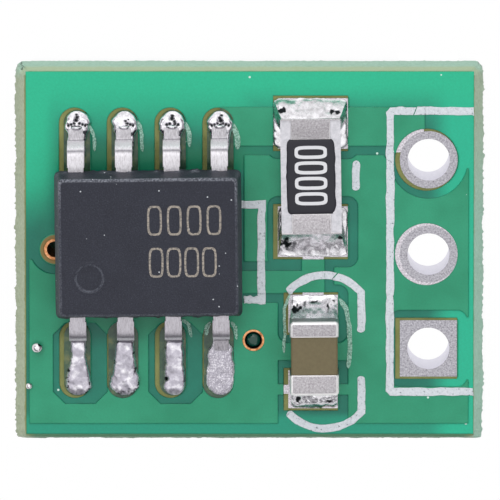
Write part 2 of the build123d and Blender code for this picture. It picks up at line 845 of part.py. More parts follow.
# Capacitor: one co-fired ceramic block, and a cap of plating over each end
with BuildPart() as capacitor_ceramic:
    with BuildSketch(capacitor_level(capacitor_wrap)):
        Rectangle(capacitor_width - 2 * capacitor_wrap, capacitor_length - 2 * capacitor_wrap)
    extrude(amount=capacitor_height - 2 * capacitor_wrap)
    fillet(capacitor_ceramic.edges(), capacitor_edge_radius)
save(capacitor_ceramic.part, "capacitor_ceramic")

for side, end, band in ((1, "back", capacitor_back_band), (-1, "front", capacitor_front_band)):
    with BuildPart() as terminal:
        with BuildSketch(capacitor_level(0)):
            Rectangle(capacitor_width, capacitor_length)
        extrude(amount=capacitor_height)
        fillet(terminal.edges(), capacitor_edge_radius + capacitor_wrap)
        with BuildSketch(capacitor_level(0)):
            tip = side * capacitor_length
            block(-capacitor_width, side * (capacitor_length / 2 - band), capacitor_width, tip)
        extrude(amount=capacitor_height, mode=Mode.INTERSECT)
        add(capacitor_ceramic.part, mode=Mode.SUBTRACT)
    save(terminal.part, f"capacitor_terminal_{end}")

# Solder under and in front of each end of the capacitor, up to its brim on the plating
for side, end in ((1, "back"), (-1, "front")):
    across = Vector(side, 0, 0).rotate(Axis.Z, capacitor_turn)
    outwards = Vector(0, side, 0).rotate(Axis.Z, capacitor_turn)
    heel = capacitor_pad_reach - capacitor_pad_length / 2 + joint_end_gap
    toe = capacitor_pad_reach + capacitor_pad_length / 2 - joint_end_gap
    wall = capacitor_length / 2
    waist = wall + (toe - wall) * solder_waist_toe
    waist_level = capacitor_solder_rise * solder_waist_rise
    with BuildPart() as joint:
        with BuildSketch(Plane((capacitor_x, capacitor_pads_y, pad_top), outwards, across)):
            with BuildLine():
                Polyline(
                    (heel, 0),
                    (toe, 0),
                    (waist, waist_level),
                    (wall + solder_lip, capacitor_solder_rise),
                    (wall, capacitor_solder_rise),
                    (wall, solder_seat),
                    (heel, solder_seat),
                    close=True,
                )
            make_face()
        extrude(amount=capacitor_pad_width / 2 - capacitor_off_pads_x - joint_end_gap, both=True)
    save(joint.part, f"capacitor_solder_{end}")

# Stray beads of solder, each flattened where it froze on the mask
with BuildPart() as solder_beads:
    for x, y, radius, level in (
        (chip_x + large_bead_from_chip, large_bead_y, large_bead_radius, board_thickness),
        (chip_x + small_bead_from_chip, small_bead_y, small_bead_radius, low_mask_top),
    ):
        centre_level = level + radius * (1 - bead_flat)
        with Locations((x, y, centre_level)):
            Sphere(radius)
        with BuildSketch(Plane.XY.offset(level)):
            with Locations((x, y)):
                Rectangle(2 * radius, 2 * radius)
        extrude(amount=-radius, mode=Mode.SUBTRACT)
    with BuildSketch(Plane.XY.offset(laminate_top)):
        add(raised_mask.sketch)
    extrude(amount=coat, mode=Mode.SUBTRACT)
save(solder_beads.part, "solder_beads")
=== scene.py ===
from math import cos, pi, radians, sin

import bmesh
import bpy
import numpy as np
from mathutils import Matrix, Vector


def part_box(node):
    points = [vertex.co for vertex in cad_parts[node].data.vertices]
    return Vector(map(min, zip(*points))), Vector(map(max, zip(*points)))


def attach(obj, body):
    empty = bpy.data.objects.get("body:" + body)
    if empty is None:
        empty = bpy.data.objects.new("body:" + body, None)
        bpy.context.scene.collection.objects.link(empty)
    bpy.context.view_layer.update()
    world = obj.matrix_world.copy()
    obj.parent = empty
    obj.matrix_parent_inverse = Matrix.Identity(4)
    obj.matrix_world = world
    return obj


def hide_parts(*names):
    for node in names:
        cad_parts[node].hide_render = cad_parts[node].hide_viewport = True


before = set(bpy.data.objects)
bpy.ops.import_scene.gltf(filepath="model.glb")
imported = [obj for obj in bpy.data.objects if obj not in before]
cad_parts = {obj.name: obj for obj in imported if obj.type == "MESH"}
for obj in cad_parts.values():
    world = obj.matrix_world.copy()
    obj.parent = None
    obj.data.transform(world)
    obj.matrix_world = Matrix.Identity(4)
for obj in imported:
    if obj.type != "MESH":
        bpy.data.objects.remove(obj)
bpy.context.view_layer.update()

# Lithium battery charger module: the finishes, solder, ink, flux and dirt of a small circuit
# board. Shapes are worked out in millimetres in the board's own frame and scaled once.

# Studio
# The photograph is taken from nearly overhead, nine degrees towards the back edge, from far
# away. A large soft lamp hangs over the back, and the sweep under the board is pure white.
mm = 0.001
view_tilt = radians(9.0)
view_distance = 400.0
view_width = 13.30
view_target = (0.005, 0.086, 1.6)
camera_data = bpy.data.cameras.new("camera")
camera_data.sensor_width = 36.0
camera_data.lens = camera_data.sensor_width * view_distance / view_width
camera_data.clip_start = 0.01
camera_data.clip_end = 10.0
camera = bpy.data.objects.new("camera", camera_data)
camera.location = (
    view_target[0] * mm,
    (view_target[1] + view_distance * sin(view_tilt)) * mm,
    (view_target[2] + view_distance * cos(view_tilt)) * mm,
)
camera.rotation_euler = (-view_tilt, 0, 0)
bpy.context.scene.collection.objects.link(camera)
bpy.context.scene.camera = camera
bpy.context.scene.view_settings.view_transform = "Standard"


def node(owner, kind, settings=None, **inputs):
    """One shader node, in a tree or beside the node or socket that is given as its owner. Inputs
    are given by name, or as input_3 by place, as values or as sockets."""
    tree = owner.id_data
    new = tree.nodes.new("ShaderNode" + kind)
    for option, value in (settings or {}).items():
        setattr(new, option, value)
    for key, value in inputs.items():
        socket = new.inputs[int(key[6:]) if key.startswith("input_") else key.replace("_", " ")]
        if isinstance(value, bpy.types.NodeSocket):
            tree.links.new(value, socket)
        else:
            socket.default_value = value
    return new


def paint(red, green, blue):
    """Display colour from 0 to 255 as the linear colour that a shader takes."""
    c = np.array((red, green, blue)) / 255
    linear = np.where(c <= 0.04045, c / 12.92, ((c + 0.055) / 1.055) ** 2.4)
    return (*[float(v) for v in linear], 1.0)


def ramp(factor, *stops):
    """Colour ramp through (place, colour) stops."""
    new = node(factor, "ValToRGB", Fac=factor)
    bar = new.color_ramp.elements
    while len(bar) < len(stops):
        bar.new(0.5)
    for element, (place, colour) in zip(bar, stops):
        element.position, element.color = place, colour
    return new.outputs[0]


def grey(level):
    """Neutral linear colour of that level."""
    return (level, level, level, 1)


def combined(operation, first, second):
    """Math node that works on a socket and a value or another socket."""
    return node(first, "Math", {"operation": operation}, input_0=first, input_1=second).outputs[0]


def product(first, *others):
    """Product of two or more sockets."""
    for other in others:
        first = combined("MULTIPLY", first, other)
    return first


def axes(vector):
    """Sockets X, Y and Z of a vector."""
    return node(vector, "SeparateXYZ", Vector=vector).outputs


def blend_tones(factor, low, high, blend="MIX"):
    """Mix of two colours. The factor or the first colour is a socket, and all three can be."""
    owner = low if isinstance(low, bpy.types.NodeSocket) else factor
    settings = {"data_type": "RGBA", "blend_type": blend}
    return node(owner, "Mix", settings, input_0=factor, input_6=low, input_7=high).outputs[2]


def faded(value, start, end, low=0.0, high=1.0):
    """Straight rise of a value from low to high between two bounds, which may be swapped."""
    bounds = dict(input_1=start, input_2=end, input_3=low, input_4=high)
    return node(value, "MapRange", Value=value, **bounds).outputs[0]


def feed(value, shader, socket="Base Color"):
    """Links a value to an input of a shader."""
    shader.id_data.links.new(value, shader.inputs[socket])


def extent(name):
    """Lowest and highest corner of a CAD node's box, in millimetres."""
    return [np.array(corner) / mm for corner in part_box(name)]


def plan_middle(name):
    """Middle of a CAD node in plan, in millimetres."""
    return sum(extent(name))[:2] / 2


world = bpy.data.worlds.new("studio")
bpy.context.scene.world = world
world.use_nodes = True
tree = world.node_tree
direction = axes(node(tree, "TexCoord").outputs["Generated"])
room = ramp(
    direction["Z"],
    (0.0, grey(1.30)),
    (0.10, (0.90, 0.90, 0.92, 1)),
    (0.35, (0.10, 0.10, 0.11, 1)),
    (0.62, (0.30, 0.30, 0.32, 1)),
    (0.78, grey(1.25)),
    (1.0, grey(1.40)),
)
lit = blend_tones(faded(direction["Y"], 0.25, 0.75), room, grey(1.2))
seen = node(tree, "LightPath").outputs["Is Camera Ray"]
feed(blend_tones(seen, lit, grey(1)), tree.nodes["Background"], "Color")


def lamp(name, place, size, power):
    """Soft square lamp that faces the middle of the board."""
    data = bpy.data.lights.new(name, "AREA")
    data.size = size * mm
    data.energy = power
    new = bpy.data.objects.new(name, data)
    new.location = [v * mm for v in place]
    new.rotation_euler = new.location.to_track_quat("Z", "Y").to_euler()
    bpy.context.scene.collection.objects.link(new)


lamp("back_softbox", (-20, 90, 130), 90, 0.032)
lamp("left_softbox", (-110, 10, 90), 60, 0.014)
lamp("front_softbox", (40, -100, 80), 50, 0.008)

floor_half, floor_level = 60.0, -0.005
floor_plan = np.array([(-1, -1), (1, -1), (1, 1), (-1, 1)]) * floor_half
floor_mesh = bpy.data.meshes.new("floor")
floor_mesh.from_pydata([(x * mm, y * mm, floor_level * mm) for x, y in floor_plan], [], [(0, 1, 2, 3)])
floor = bpy.data.objects.new("floor", floor_mesh)
bpy.context.scene.collection.objects.link(floor)
floor_paper = bpy.data.materials.new("floor_paper")
floor_paper.use_nodes = True
tree = floor_paper.node_tree
shader = tree.nodes["Principled BSDF"]
shader.inputs["Base Color"].default_value = grey(0.8)
shader.inputs["Roughness"].default_value = 0.9
path = node(tree, "LightPath").outputs
direct = combined("MAXIMUM", path["Is Camera Ray"], path["Is Glossy Ray"])
direct = combined("MAXIMUM", direct, path["Is Transmission Ray"])
# The glow is white with the soft shadow multiplied in, so that the floor stays white but
# grounded. What shows through the wire holes has no shadow.
shade_here = node(tree, "AmbientOcclusion", {"samples": 8}, Distance=1.2 * mm).outputs["AO"]
glow_level = ramp(shade_here, (0.0, (0.86, 0.86, 0.87, 1)), (0.55, grey(1)))
across = axes(node(tree, "TexCoord").outputs["Object"])["X"]
off_row = combined("SUBTRACT", across, float(plan_middle("barrel_2")[0]) * mm)
in_hole = combined("LESS_THAN", combined("ABSOLUTE", off_row, 0.0), 0.8 * mm)
glow = node(tree, "Emission", Color=blend_tones(in_hole, glow_level, grey(1)), Strength=1.0)
both = node(tree, "MixShader", input_0=direct, input_1=shader.outputs[0], input_2=glow.outputs[0])
feed(both.outputs[0], tree.nodes["Material Output"], "Surface")
floor_mesh.materials.append(floor_paper)

# Board
# A piece of glass-epoxy panel, scored from both faces and snapped out. The laminate carries
# the finish, and a ragged skin of torn glass and resin runs round its bevelled edge.
(x_low, y_low, laminate_bottom), (x_high, y_high, laminate_top) = extent("board_laminate")
board_length, board_width = x_high - x_low, y_high - y_low
end_score_inset, side_score_inset, score_depth = 0.22, 0.12, 0.42


def eased(t):
    """Smoothstep t^2 (3 - 2 t)."""
    return t * t * (3 - 2 * t)


def bell(x, middle, width):
    """Bell curve exp(-((x - middle) / width)^2)."""
    return np.exp(-(((x - middle) / width) ** 2))


def grain(x, y, size, seed):
    """Smooth random heights from -1 to 1: random values on a square lattice of that size,
    blended between the four nearest lattice points with smoothstep weights."""
    table = np.random.default_rng(seed).uniform(-1, 1, (64, 64))
    u, v = np.asarray(x) / size, np.asarray(y) / size
    i, j = np.floor(u).astype(int), np.floor(v).astype(int)
    s, t = eased(u - i), eased(v - j)
    near = table[i % 64, j % 64] * (1 - s) + table[(i + 1) % 64, j % 64] * s
    far = table[i % 64, (j + 1) % 64] * (1 - s) + table[(i + 1) % 64, (j + 1) % 64] * s
    return near * (1 - t) + far * t


def roughness_field(x, y, size, seed, layers=3):
    """Fractal of grain: each layer is half the size and half the height of the one before."""
    return sum(grain(x, y, size / 2**n, seed + n) / 2**n for n in range(layers))


def sealed(piece, merge=0.0005):
    """Merges points that lie within that distance of each other and turns the faces outwards."""
    shell = bmesh.new()
    shell.from_mesh(piece.data)
    bmesh.ops.remove_doubles(shell, verts=shell.verts, dist=merge * mm)
    bmesh.ops.recalc_face_normals(shell, faces=shell.faces)
    shell.to_mesh(piece.data)
    shell.free()
    return piece


def surface(name, grids, wrap_u=False, wrap_v=False, smooth=True, stains_and_highlights=None, merge=0.0005):
    """Sealed object over grids of points in millimetres, whose faces join neighbours in each grid.
    Stains and painted highlights, one value to a point, become an attribute that a material can read."""
    points, faces, count = [], [], 0
    for grid in grids:
        rows, columns = grid.shape[:2]
        index = np.arange(rows * columns).reshape(rows, columns) + count
        if wrap_u:
            index = np.vstack((index, index[:1]))
        if wrap_v:
            index = np.hstack((index, index[:, :1]))
        quads = np.stack((index[:-1, :-1], index[1:, :-1], index[1:, 1:], index[:-1, 1:]), axis=-1)
        points.append(grid.reshape(-1, 3) * mm)
        faces.append(quads.reshape(-1, 4))
        count += rows * columns
    mesh = bpy.data.meshes.new(name)
    mesh.from_pydata(np.vstack(points).tolist(), [], np.vstack(faces).tolist())
    mesh.polygons.foreach_set("use_smooth", [smooth] * len(mesh.polygons))
    if stains_and_highlights is not None:
        values = np.concatenate([stain_and_highlight.ravel() for stain_and_highlight in stains_and_highlights]).astype(np.float32)
        mesh.attributes.new("stain_and_highlight", "FLOAT", "POINT").data.foreach_set("value", values)
    piece = bpy.data.objects.new(name, mesh)
    bpy.context.scene.collection.objects.link(piece)
    return sealed(piece, merge)


def finish(name, colour, roughness=0.5, metallic=0.0, **sockets):
    """Node material with its shader's plain sockets set: (material, shader, coordinates)."""
    material = bpy.data.materials.new(name)
    material.use_nodes = True
    shader = material.node_tree.nodes["Principled BSDF"]
    shader.inputs["Base Color"].default_value = colour
    shader.inputs["Roughness"].default_value = roughness
    shader.inputs["Metallic"].default_value = metallic
    for key, value in sockets.items():
        shader.inputs[key.replace("_", " ")].default_value = value
    coordinates = node(shader, "TexCoord").outputs["Object"]
    return material, shader, coordinates


def speckle(coordinates, size, detail=3.0, rough=0.6):
    """Noise factor with features of that size in millimetres."""
    settings = dict(Vector=coordinates, Scale=1 / (size * mm), Detail=detail, Roughness=rough)
    return node(coordinates, "TexNoise", **settings).outputs["Fac"]


def emboss(shader, height, depth, strength=1.0):
    """Bump of that depth in millimetres on a shader."""
    bump = node(shader, "Bump", Height=height, Distance=depth * mm, Strength=strength)
    feed(bump.outputs[0], shader, "Normal")
    return bump


def upness(owner):
    """Upward part of the surface's normal: 1 where it lies flat, 0 where it stands."""
    return axes(node(owner, "NewGeometry").outputs["Normal"])["Z"]


def rim_glint(owner):
    """Factor that is 1 on rounded upper edges, where the normal leans between flat and upright."""
    return ramp(upness(owner), (0.2, grey(0)), (0.45, grey(1)), (0.93, grey(1)), (0.985, grey(0)))


def fitted(piece, material, slot, *hidden):
    """Gives a made piece its material, in place of the CAD nodes that it stands for. Its slot is not used.
    """
    piece.data.materials.append(material)
    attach(piece, "root")
    if hidden:
        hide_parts(*hidden)


def dress(names, material):
    """Gives a material to CAD nodes."""
    for name in names:
        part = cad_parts[name]
        part.data.materials.clear()
        part.data.materials.append(material)


def shaded(factor, stops, *tones):
    """Colour ramp through display colours at those stops."""
    return ramp(factor, *((stop, paint(*tone)) for stop, tone in zip(stops, tones)))


epoxy, shader, place = finish("glass_epoxy", paint(170, 180, 150), 0.55)
spot = axes(place)
fibres = node(place, "Mapping", Vector=place, Scale=(1, 1, 9)).outputs[0]
threads = speckle(fibres, 0.10, 4.0, 0.7)
cloudy = speckle(place, 0.9, 2.0)
thread_stops = (0.30, 0.55, 0.78)
resin = shaded(threads, thread_stops, (138, 150, 118), (172, 184, 156), (205, 208, 196))
cool = shaded(threads, thread_stops, (126, 170, 148), (160, 198, 178), (196, 220, 210))
# The broken edges look cooler at the back and on the right, and yellow on the back's bevel
backness = faded(spot["Y"], 4.6 * mm, 5.0 * mm)
rightness = faded(spot["X"], 5.9 * mm, 6.0 * mm)
rightness = product(rightness, faded(spot["Y"], 4.0 * mm, 1.0 * mm, 0.3))
bevel = faded(spot["Z"], (laminate_top - 0.32) * mm, (laminate_top - 0.2) * mm)
cool = blend_tones(product(bevel, backness), cool, paint(168, 188, 146))
tone = blend_tones(combined("MAXIMUM", backness, rightness), resin, cool)
olive = shaded(cloudy, (0.3, 0.7), (108, 112, 52), (134, 138, 78))
on_top = faded(spot["Z"], (laminate_top - 0.02) * mm, laminate_top * mm)
tone = blend_tones(on_top, tone, olive)
# Mask ink is smeared over the upper half of the front edge, short of its corners
frontness = faded(spot["Y"], -4.7 * mm, -4.9 * mm)
inness = faded(combined("ABSOLUTE", spot["X"], 0.0), 6.05 * mm, 5.7 * mm)
smeared = product(frontness, inness, faded(spot["Z"], 0.9 * mm, 1.2 * mm))
feed(blend_tones(smeared, tone, paint(78, 124, 92)), shader)
emboss(shader, threads, 0.03, 0.8)
dress(["board_laminate"], epoxy)

# The skin: a profile across the edge carried round the board's outline, pushed in and out by
# grain that is strongest where the web between the two scores tore
edge_steps = 2200
outline_corners = np.array([(-1, -1), (1, -1), (1, 1), (-1, 1)]) * (board_length / 2, board_width / 2)
side_lengths = np.array([board_length, board_width, board_length, board_width])
travel = np.linspace(0, side_lengths.sum(), edge_steps, endpoint=False)
side_index = np.searchsorted(np.cumsum(side_lengths), travel, side="right")
side_start = np.concatenate(([0], np.cumsum(side_lengths)[:-1]))[side_index]
from_corner = travel - side_start
to_corner = side_lengths[side_index] - from_corner
share = (from_corner / side_lengths[side_index])[:, None]
rim = outline_corners[side_index] * (1 - share) + outline_corners[(side_index + 1) % 4] * share
outward = np.array([(0, -1), (1, 0), (0, 1), (-1, 0)])[side_index]
along = np.stack((-outward[:, 1], outward[:, 0]), axis=-1)
side_insets = np.array((side_score_inset, end_score_inset, side_score_inset, end_score_inset))
inset = side_insets[side_index]
middle = (laminate_top + laminate_bottom) / 2
web_top, web_bottom = laminate_top - score_depth, laminate_bottom + score_depth
# Each row: share of the score's inset, extra reach, height, share of the tearing
profile = np.array(
    [
        (1, -0.10, laminate_top - 0.02, 0),
        (1, -0.012, laminate_top + 0.006, 0),
        (1, 0.012, laminate_top - 0.012, 0.2),
        (0.66, 0.008, laminate_top - score_depth * 0.33, 0.5),
        (0.33, 0.008, laminate_top - score_depth * 0.66, 0.7),
        (0.05, 0.008, web_top + 0.02, 0.9),
        (0, 0.012, web_top - 0.08, 1),
        (0, 0.012, middle + 0.10, 1),
        (0, 0.012, middle - 0.10, 1),
        (0, 0.012, web_bottom + 0.08, 1),
        (0.05, 0.008, web_bottom - 0.02, 0.9),
        (0.33, 0.008, laminate_bottom + score_depth * 0.66, 0.6),
        (0.66, 0.008, laminate_bottom + score_depth * 0.33, 0.4),
        (1, 0.012, laminate_bottom + 0.012, 0.1),
        (1, -0.10, laminate_bottom + 0.02, 0),
    ]
)
inset_share, reach, levels, tear = profile.T[:, None]
torn = np.where(side_index % 2 == 1, 1.0, 0.3)[:, None]
ragged = roughness_field(travel[:, None], levels * 1.6, 0.30, 11, 4) * 0.034
splinters = np.clip(grain(travel[:, None], levels * 0.4, 0.06, 31), 0.2, 1) * 0.055
# The back corners are broken off further than the front ones
corner_loss = np.where(rim[:, 1] < 0, 0.15, 0.9)
corner_cut = np.clip(0.16 - np.minimum(from_corner, to_corner), 0, None) * corner_loss
side_reach = np.array((0.055, 0.0, 0.0, 0.03))[side_index][:, None]
push = reach - inset_share * inset[:, None] + side_reach * (tear > 0)
push = push + tear * torn * (ragged + splinters - 0.012) - corner_cut[:, None]
# Near a corner, the points slide along the edge as far as the neighbouring side is inset
slide_start = np.clip(1 - from_corner / 0.5, 0, 1)[:, None]
slide_end = np.clip(1 - to_corner / 0.5, 0, 1)[:, None]
before, after = (side_insets[(side_index + k) % 4][:, None] for k in (-1, 1))
slide = slide_end * (reach - inset_share * after) - slide_start * (reach - inset_share * before)
skin_points = np.empty((edge_steps, len(profile), 3))
skin_points[:, :, :2] = rim[:, None] + outward[:, None] * push[..., None]
skin_points[:, :, :2] += along[:, None] * slide[..., None]
skin_points[:, :, 2] = levels + tear * grain(travel[:, None], levels, 0.2, 5) * 0.012
fitted(surface("board_edge_fibres", [skin_points], wrap_u=True, wrap_v=True), epoxy, "glass_epoxy")

# Copper and plating
# Etched foil lies under the green mask, and dull dipped tin covers whatever the mask leaves
# bare: the pads, the lands and the barrels of the wire holes. The vias stay bare copper.
foil_thickness, mask_thickness = 0.035, 0.025
pad_level = laminate_top + foil_thickness
mask_bare_level = laminate_top + mask_thickness
mask_over_level = pad_level + mask_thickness
dull_tin, shader, place = finish("dull_tin", paint(176, 173, 180), 0.38, 1.0)
height_here = axes(place)["Z"]
crystals = speckle(place, 0.045, 5.0, 0.75)
tin_tone = shaded(crystals, (0.32, 0.48, 0.7), (108, 103, 111), (158, 156, 163), (204, 202, 208))
# The barrels' walls below the pad's level are painted near white, a painted highlight
wall_highlight = faded(height_here, pad_level * mm, (pad_level - 0.03) * mm)
feed(blend_tones(wall_highlight, tin_tone, paint(226, 224, 236)), shader)
emboss(shader, crystals, 0.012, 0.9)
dress(["barrel_1", "barrel_2", "barrel_3"], dull_tin)

# The pads under the chip's leads are painted dark green and olive, partly the flux's colour and partly a
# painted shade under and beside the leads, and those of the other parts are tinned
fluxed_and_shaded_pad, shader, place = finish("fluxed_and_shaded_pad", paint(60, 84, 58), 0.25)
past_chip = combined("GREATER_THAN", axes(place)["X"], 0.0)
flux_and_shade = speckle(place, 0.25, 3.0)
flux_and_shade_tone = shaded(flux_and_shade, (0.3, 0.55, 0.75), (30, 62, 50), (58, 88, 62), (104, 112, 70))
crust = speckle(place, 0.045, 5.0, 0.75)
crust_tone = shaded(crust, (0.32, 0.5, 0.7), (136, 128, 136), (190, 185, 192), (236, 234, 238))
feed(blend_tones(past_chip, flux_and_shade_tone, crust_tone), shader)
feed(past_chip, shader, "Metallic")
feed(faded(past_chip, 0, 1, 0.2, 0.4), shader, "Roughness")
foils = ("top_supply_copper", "top_chip_copper", "top_ground_copper", "top_input_copper")
dress([*foils, "chip_loose_pads"], fluxed_and_shaded_pad)


def distance_from(coordinates, point):
    """Distance from a point that is given in millimetres."""
    centre = [float(v) * mm for v in point]
    settings = {"operation": "DISTANCE"}
    return node(coordinates, "VectorMath", settings, input_0=coordinates, input_1=centre).outputs["Value"]


def upper_middle(name):
    """Middle of a CAD node's upper end, in millimetres."""
    return (*plan_middle(name), extent(name)[1][2])


bare_copper, shader, place = finish("bare_copper", paint(214, 150, 104), 0.35, 1.0)
blotches = speckle(place, 0.08, 4.0, 0.7)
copper_stops = (0.35, 0.55, 0.75)
copper_tone = shaded(blotches, copper_stops, (150, 96, 60), (214, 150, 104), (236, 190, 150))
# The copper round the plugged via's hole is painted near black, a painted shade of the hole
via_hole_shade = faded(distance_from(place, upper_middle("ground_via")), 0.245 * mm, 0.225 * mm)
feed(blend_tones(via_hole_shade, copper_tone, paint(16, 22, 22)), shader)
dress(["input_via", "ground_via", "bottom_input_copper", "bottom_ground_copper"], bare_copper)

# Solder mask
# A thin glossy green ink floods both faces and dips over the edge of every copper track.
# Bare board shows through it a deeper green than copper does, and a brighter one near the rims.
green_mask, shader, place = finish("green_mask", paint(60, 150, 116), 0.3, Specular_IOR_Level=0.3)
spot = axes(place)
weave = speckle(place, 1.3, 2.0)
fine = speckle(place, 0.05, 3.0)


def step(value, start, end):
    """Smooth step of a position, whose bounds are in millimetres."""
    settings = {"interpolation_type": "SMOOTHSTEP"}
    return node(value, "MapRange", settings, Value=value, input_1=start * mm, input_2=end * mm).outputs[0]


def dust_specks(coordinates, spacing, size, share):
    """Factor of scattered round specks: one in each lattice cell, and only past the given share."""
    cells = node(coordinates, "TexVoronoi", Vector=coordinates, Scale=1 / (spacing * mm))
    inside = combined("LESS_THAN", cells.outputs["Distance"], size / spacing)
    drawn = node(cells, "SeparateColor", Color=cells.outputs["Color"]).outputs[0]
    return product(inside, combined("GREATER_THAN", drawn, share))


# Four zones of bare board differ: the rims, a strip behind the chip's body, the front and the right.
# Among the chip's back leads the back rim's green is painted light against the leads' shadows, and
# the strip behind the chip's body is painted light against the chip's shadow.
back_rim_and_lead_light = step(spot["Y"], y_high - 1.7, y_high - 0.35)
left_of_body = step(spot["X"], 1.3, -0.5)
painted_light_at_leads = product(step(spot["Y"], y_high - 2.6, y_high - 0.35), left_of_body)
back_rim_and_lead_light = combined("MAXIMUM", back_rim_and_lead_light, painted_light_at_leads)
near_left = step(spot["X"], x_low + 1.5, x_low + 0.6)
left_back = product(near_left, step(spot["Y"], 0.2, 2.2))
joined = {"operation": "SMOOTH_MAX"}
rims_and_lead_light = node(place, "Math", joined, input_0=back_rim_and_lead_light, input_1=left_back, input_2=0.6).outputs[0]
near_right = step(spot["X"], x_high - 1.5, x_high - 0.75)
near_front = step(spot["Y"], y_low + 0.75, y_low + 0.5)
body_back = extent("chip_moulding")[1][1]
lit_strip = step(spot["Y"], body_back + 0.75, body_back + 0.15)
beyond_body = combined("GREATER_THAN", spot["Y"], (body_back - 0.2) * mm)
lit_strip = product(lit_strip, beyond_body, left_of_body)
bare_tone = shaded(weave, (0.35, 0.65), (14, 98, 84), (24, 116, 97))
for zone, tone in (
    (near_front, (26, 142, 116)),
    (near_right, (30, 176, 140)),
    (lit_strip, (20, 122, 88)),
    (rims_and_lead_light, (32, 181, 139)),
):
    bare_tone = blend_tones(zone, bare_tone, paint(*tone))
over_tone = shaded(weave, (0.35, 0.65), (34, 139, 103), (43, 151, 114))
raised = step(spot["Z"], mask_bare_level + 0.006, mask_over_level - 0.008)
under_track = step(spot["Z"], laminate_bottom - 0.031, laminate_bottom - 0.052)
mask_tone = blend_tones(combined("MAXIMUM", raised, under_track), bare_tone, over_tone)
at_via = step(distance_from(place, upper_middle("input_via")), 0.41, 0.37)
mask_tone = blend_tones(at_via, mask_tone, paint(140, 118, 66))
shade = ramp(fine, (0.3, grey(0.90)), (0.7, grey(1)))
mask_tone = blend_tones(1.0, mask_tone, shade, "MULTIPLY")
dust = dust_specks(place, 0.34, 0.03, 0.93)
feed(blend_tones(dust, mask_tone, paint(200, 226, 214)), shader)
bump = emboss(shader, speckle(place, 0.35, 4.0), 0.01, 0.5)
soft_edges = node(place, "Bevel", {"samples": 6}, Radius=0.05 * mm)
feed(soft_edges.outputs[0], bump, "Normal")
dress(["solder_mask_top", "solder_mask_bottom"], green_mask)

# One via is plugged with a drop of the ink, which dried as a flat dome
plug_ink, shader, place = finish("plug_ink", paint(8, 62, 52), 0.08)
plug_low, plug_high = (corner[2] for corner in extent("ground_via_plug"))
plug_middle = plan_middle("ground_via_plug")
ring_angle = np.linspace(0, 2 * pi, 64, endpoint=False)[:, None]
ring_share = np.sin(np.linspace(0, pi / 2, 18))[None, :]
plug_radius, plug_rise = 0.185, 0.09
drop = np.stack(
    (
        plug_middle[0] + plug_radius * ring_share * np.cos(ring_angle),
        plug_middle[1] + plug_radius * ring_share * np.sin(ring_angle),
        plug_high - 0.02 + plug_rise * np.sqrt(1 - ring_share**2) + 0 * ring_angle,
    ),
    axis=-1,
)
drop_foot = drop[:, -1:] * (1, 1, 0) + (0, 0, plug_low)
drop_centre = drop_foot * 0 + (*plug_middle, plug_low)
dome = surface("via_plug", [np.concatenate((drop, drop_foot, drop_centre), axis=1)], wrap_u=True)
fitted(dome, plug_ink, "green_mask", "ground_via_plug")

# White ink
# The outlines are screen printed over the finished mask, in ink that dries thick with wavy
# edges, pin holes and hairline cracks.
white_ink, shader, place = finish("white_ink", paint(226, 230, 236), 0.6)
pits = speckle(place, 0.07, 4.0, 0.7)
ink_tone = shaded(pits, (0.34, 0.37, 0.6), (90, 104, 106), (198, 204, 210), (214, 219, 225))
feed(ink_tone, shader)
emboss(shader, pits, 0.03, 0.9)
ink_half = 0.105


def rounded_end(distance, reach):
    """Quarter circle: 0 at an end, and 1 from that reach onwards."""
    return np.sqrt(np.clip(1 - (1 - np.clip(distance / reach, 0, 1)) ** 2, 0, 1))


def printed_ribbon(corners, slants=(0, 0), rounding=(0, 0), half=ink_half):
    """Flat ribbon along a polyline: its two rails are mitred at the corners and slanted at the two
    ends, where it narrows over a rounding length d by (1 - (1 - d)^2)^0.5, and all points are
    shifted by grain of their position."""
    corners = np.array(corners, dtype=float)
    ways = np.diff(corners, axis=0)
    lengths = np.linalg.norm(ways, axis=1)
    ways = ways / lengths[:, None]
    normals = np.stack((-ways[:, 1], ways[:, 0]), axis=-1)
    mitres = normals[:-1] + normals[1:]
    mitres = mitres / (mitres * normals[1:]).sum(axis=1)[:, None]
    first, last = normals[:1] + slants[0] * ways[:1], normals[-1:] + slants[1] * ways[-1:]
    rails = np.vstack((first, mitres, last)) * half
    s = np.linspace(-1, 1, 13)[None, :, None]
    rows, run = [], []
    for k, length in enumerate(lengths):
        t = np.linspace(0, 1, max(int(length / 0.02), 2) + 1)[:, None, None]
        t = t if k == 0 else t[1:]
        rows.append((corners[k] + s * rails[k]) * (1 - t) + (corners[k + 1] + s * rails[k + 1]) * t)
        run.append(lengths[:k].sum() + t[:, 0, 0] * length)
    flat, run = np.vstack(rows), np.concatenate(run)
    for near_end, reach in zip((run, run[-1] - run), rounding):
        if reach:
            narrow = np.maximum(rounded_end(near_end, reach), 0.02**0.5)[:, None, None]
            middle_line = flat[:, 6:7]
            flat = middle_line + (flat - middle_line) * narrow
    sway = [roughness_field(flat[..., 0], flat[..., 1], 0.30, seed) for seed in (41, 57)]
    flat = flat + 0.016 * np.stack(sway, axis=-1)
    return np.concatenate((flat, np.full_like(flat[..., :1], mask_over_level + 0.1)), axis=-1)


def thickened(piece, thickness):
    """Gives a sheet its thickness, upwards."""
    body = piece.modifiers.new("body", "SOLIDIFY")
    body.thickness = thickness * mm
    body.offset = 1


def printed(name, source, grids):
    """Ribbons dropped onto the mask, smoothed over its steps and given the ink's thickness."""
    piece = surface(name, grids, merge=0.0001)
    drop = piece.modifiers.new("drop", "SHRINKWRAP")
    drop.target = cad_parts["solder_mask_top"]
    drop.wrap_method = "PROJECT"
    drop.use_project_z = True
    drop.use_negative_direction = True
    drop.use_positive_direction = False
    ease = piece.modifiers.new("ease", "SMOOTH")
    ease.use_x = ease.use_y = False
    ease.iterations = 2
    thickened(piece, 0.018)
    fitted(piece, white_ink, "white_ink", source)


def ink_box(name):
    """Extremes of the centre line of a CAD ink line."""
    low, high = extent(name)
    return (*low[:2] + ink_half, *high[:2] - ink_half)


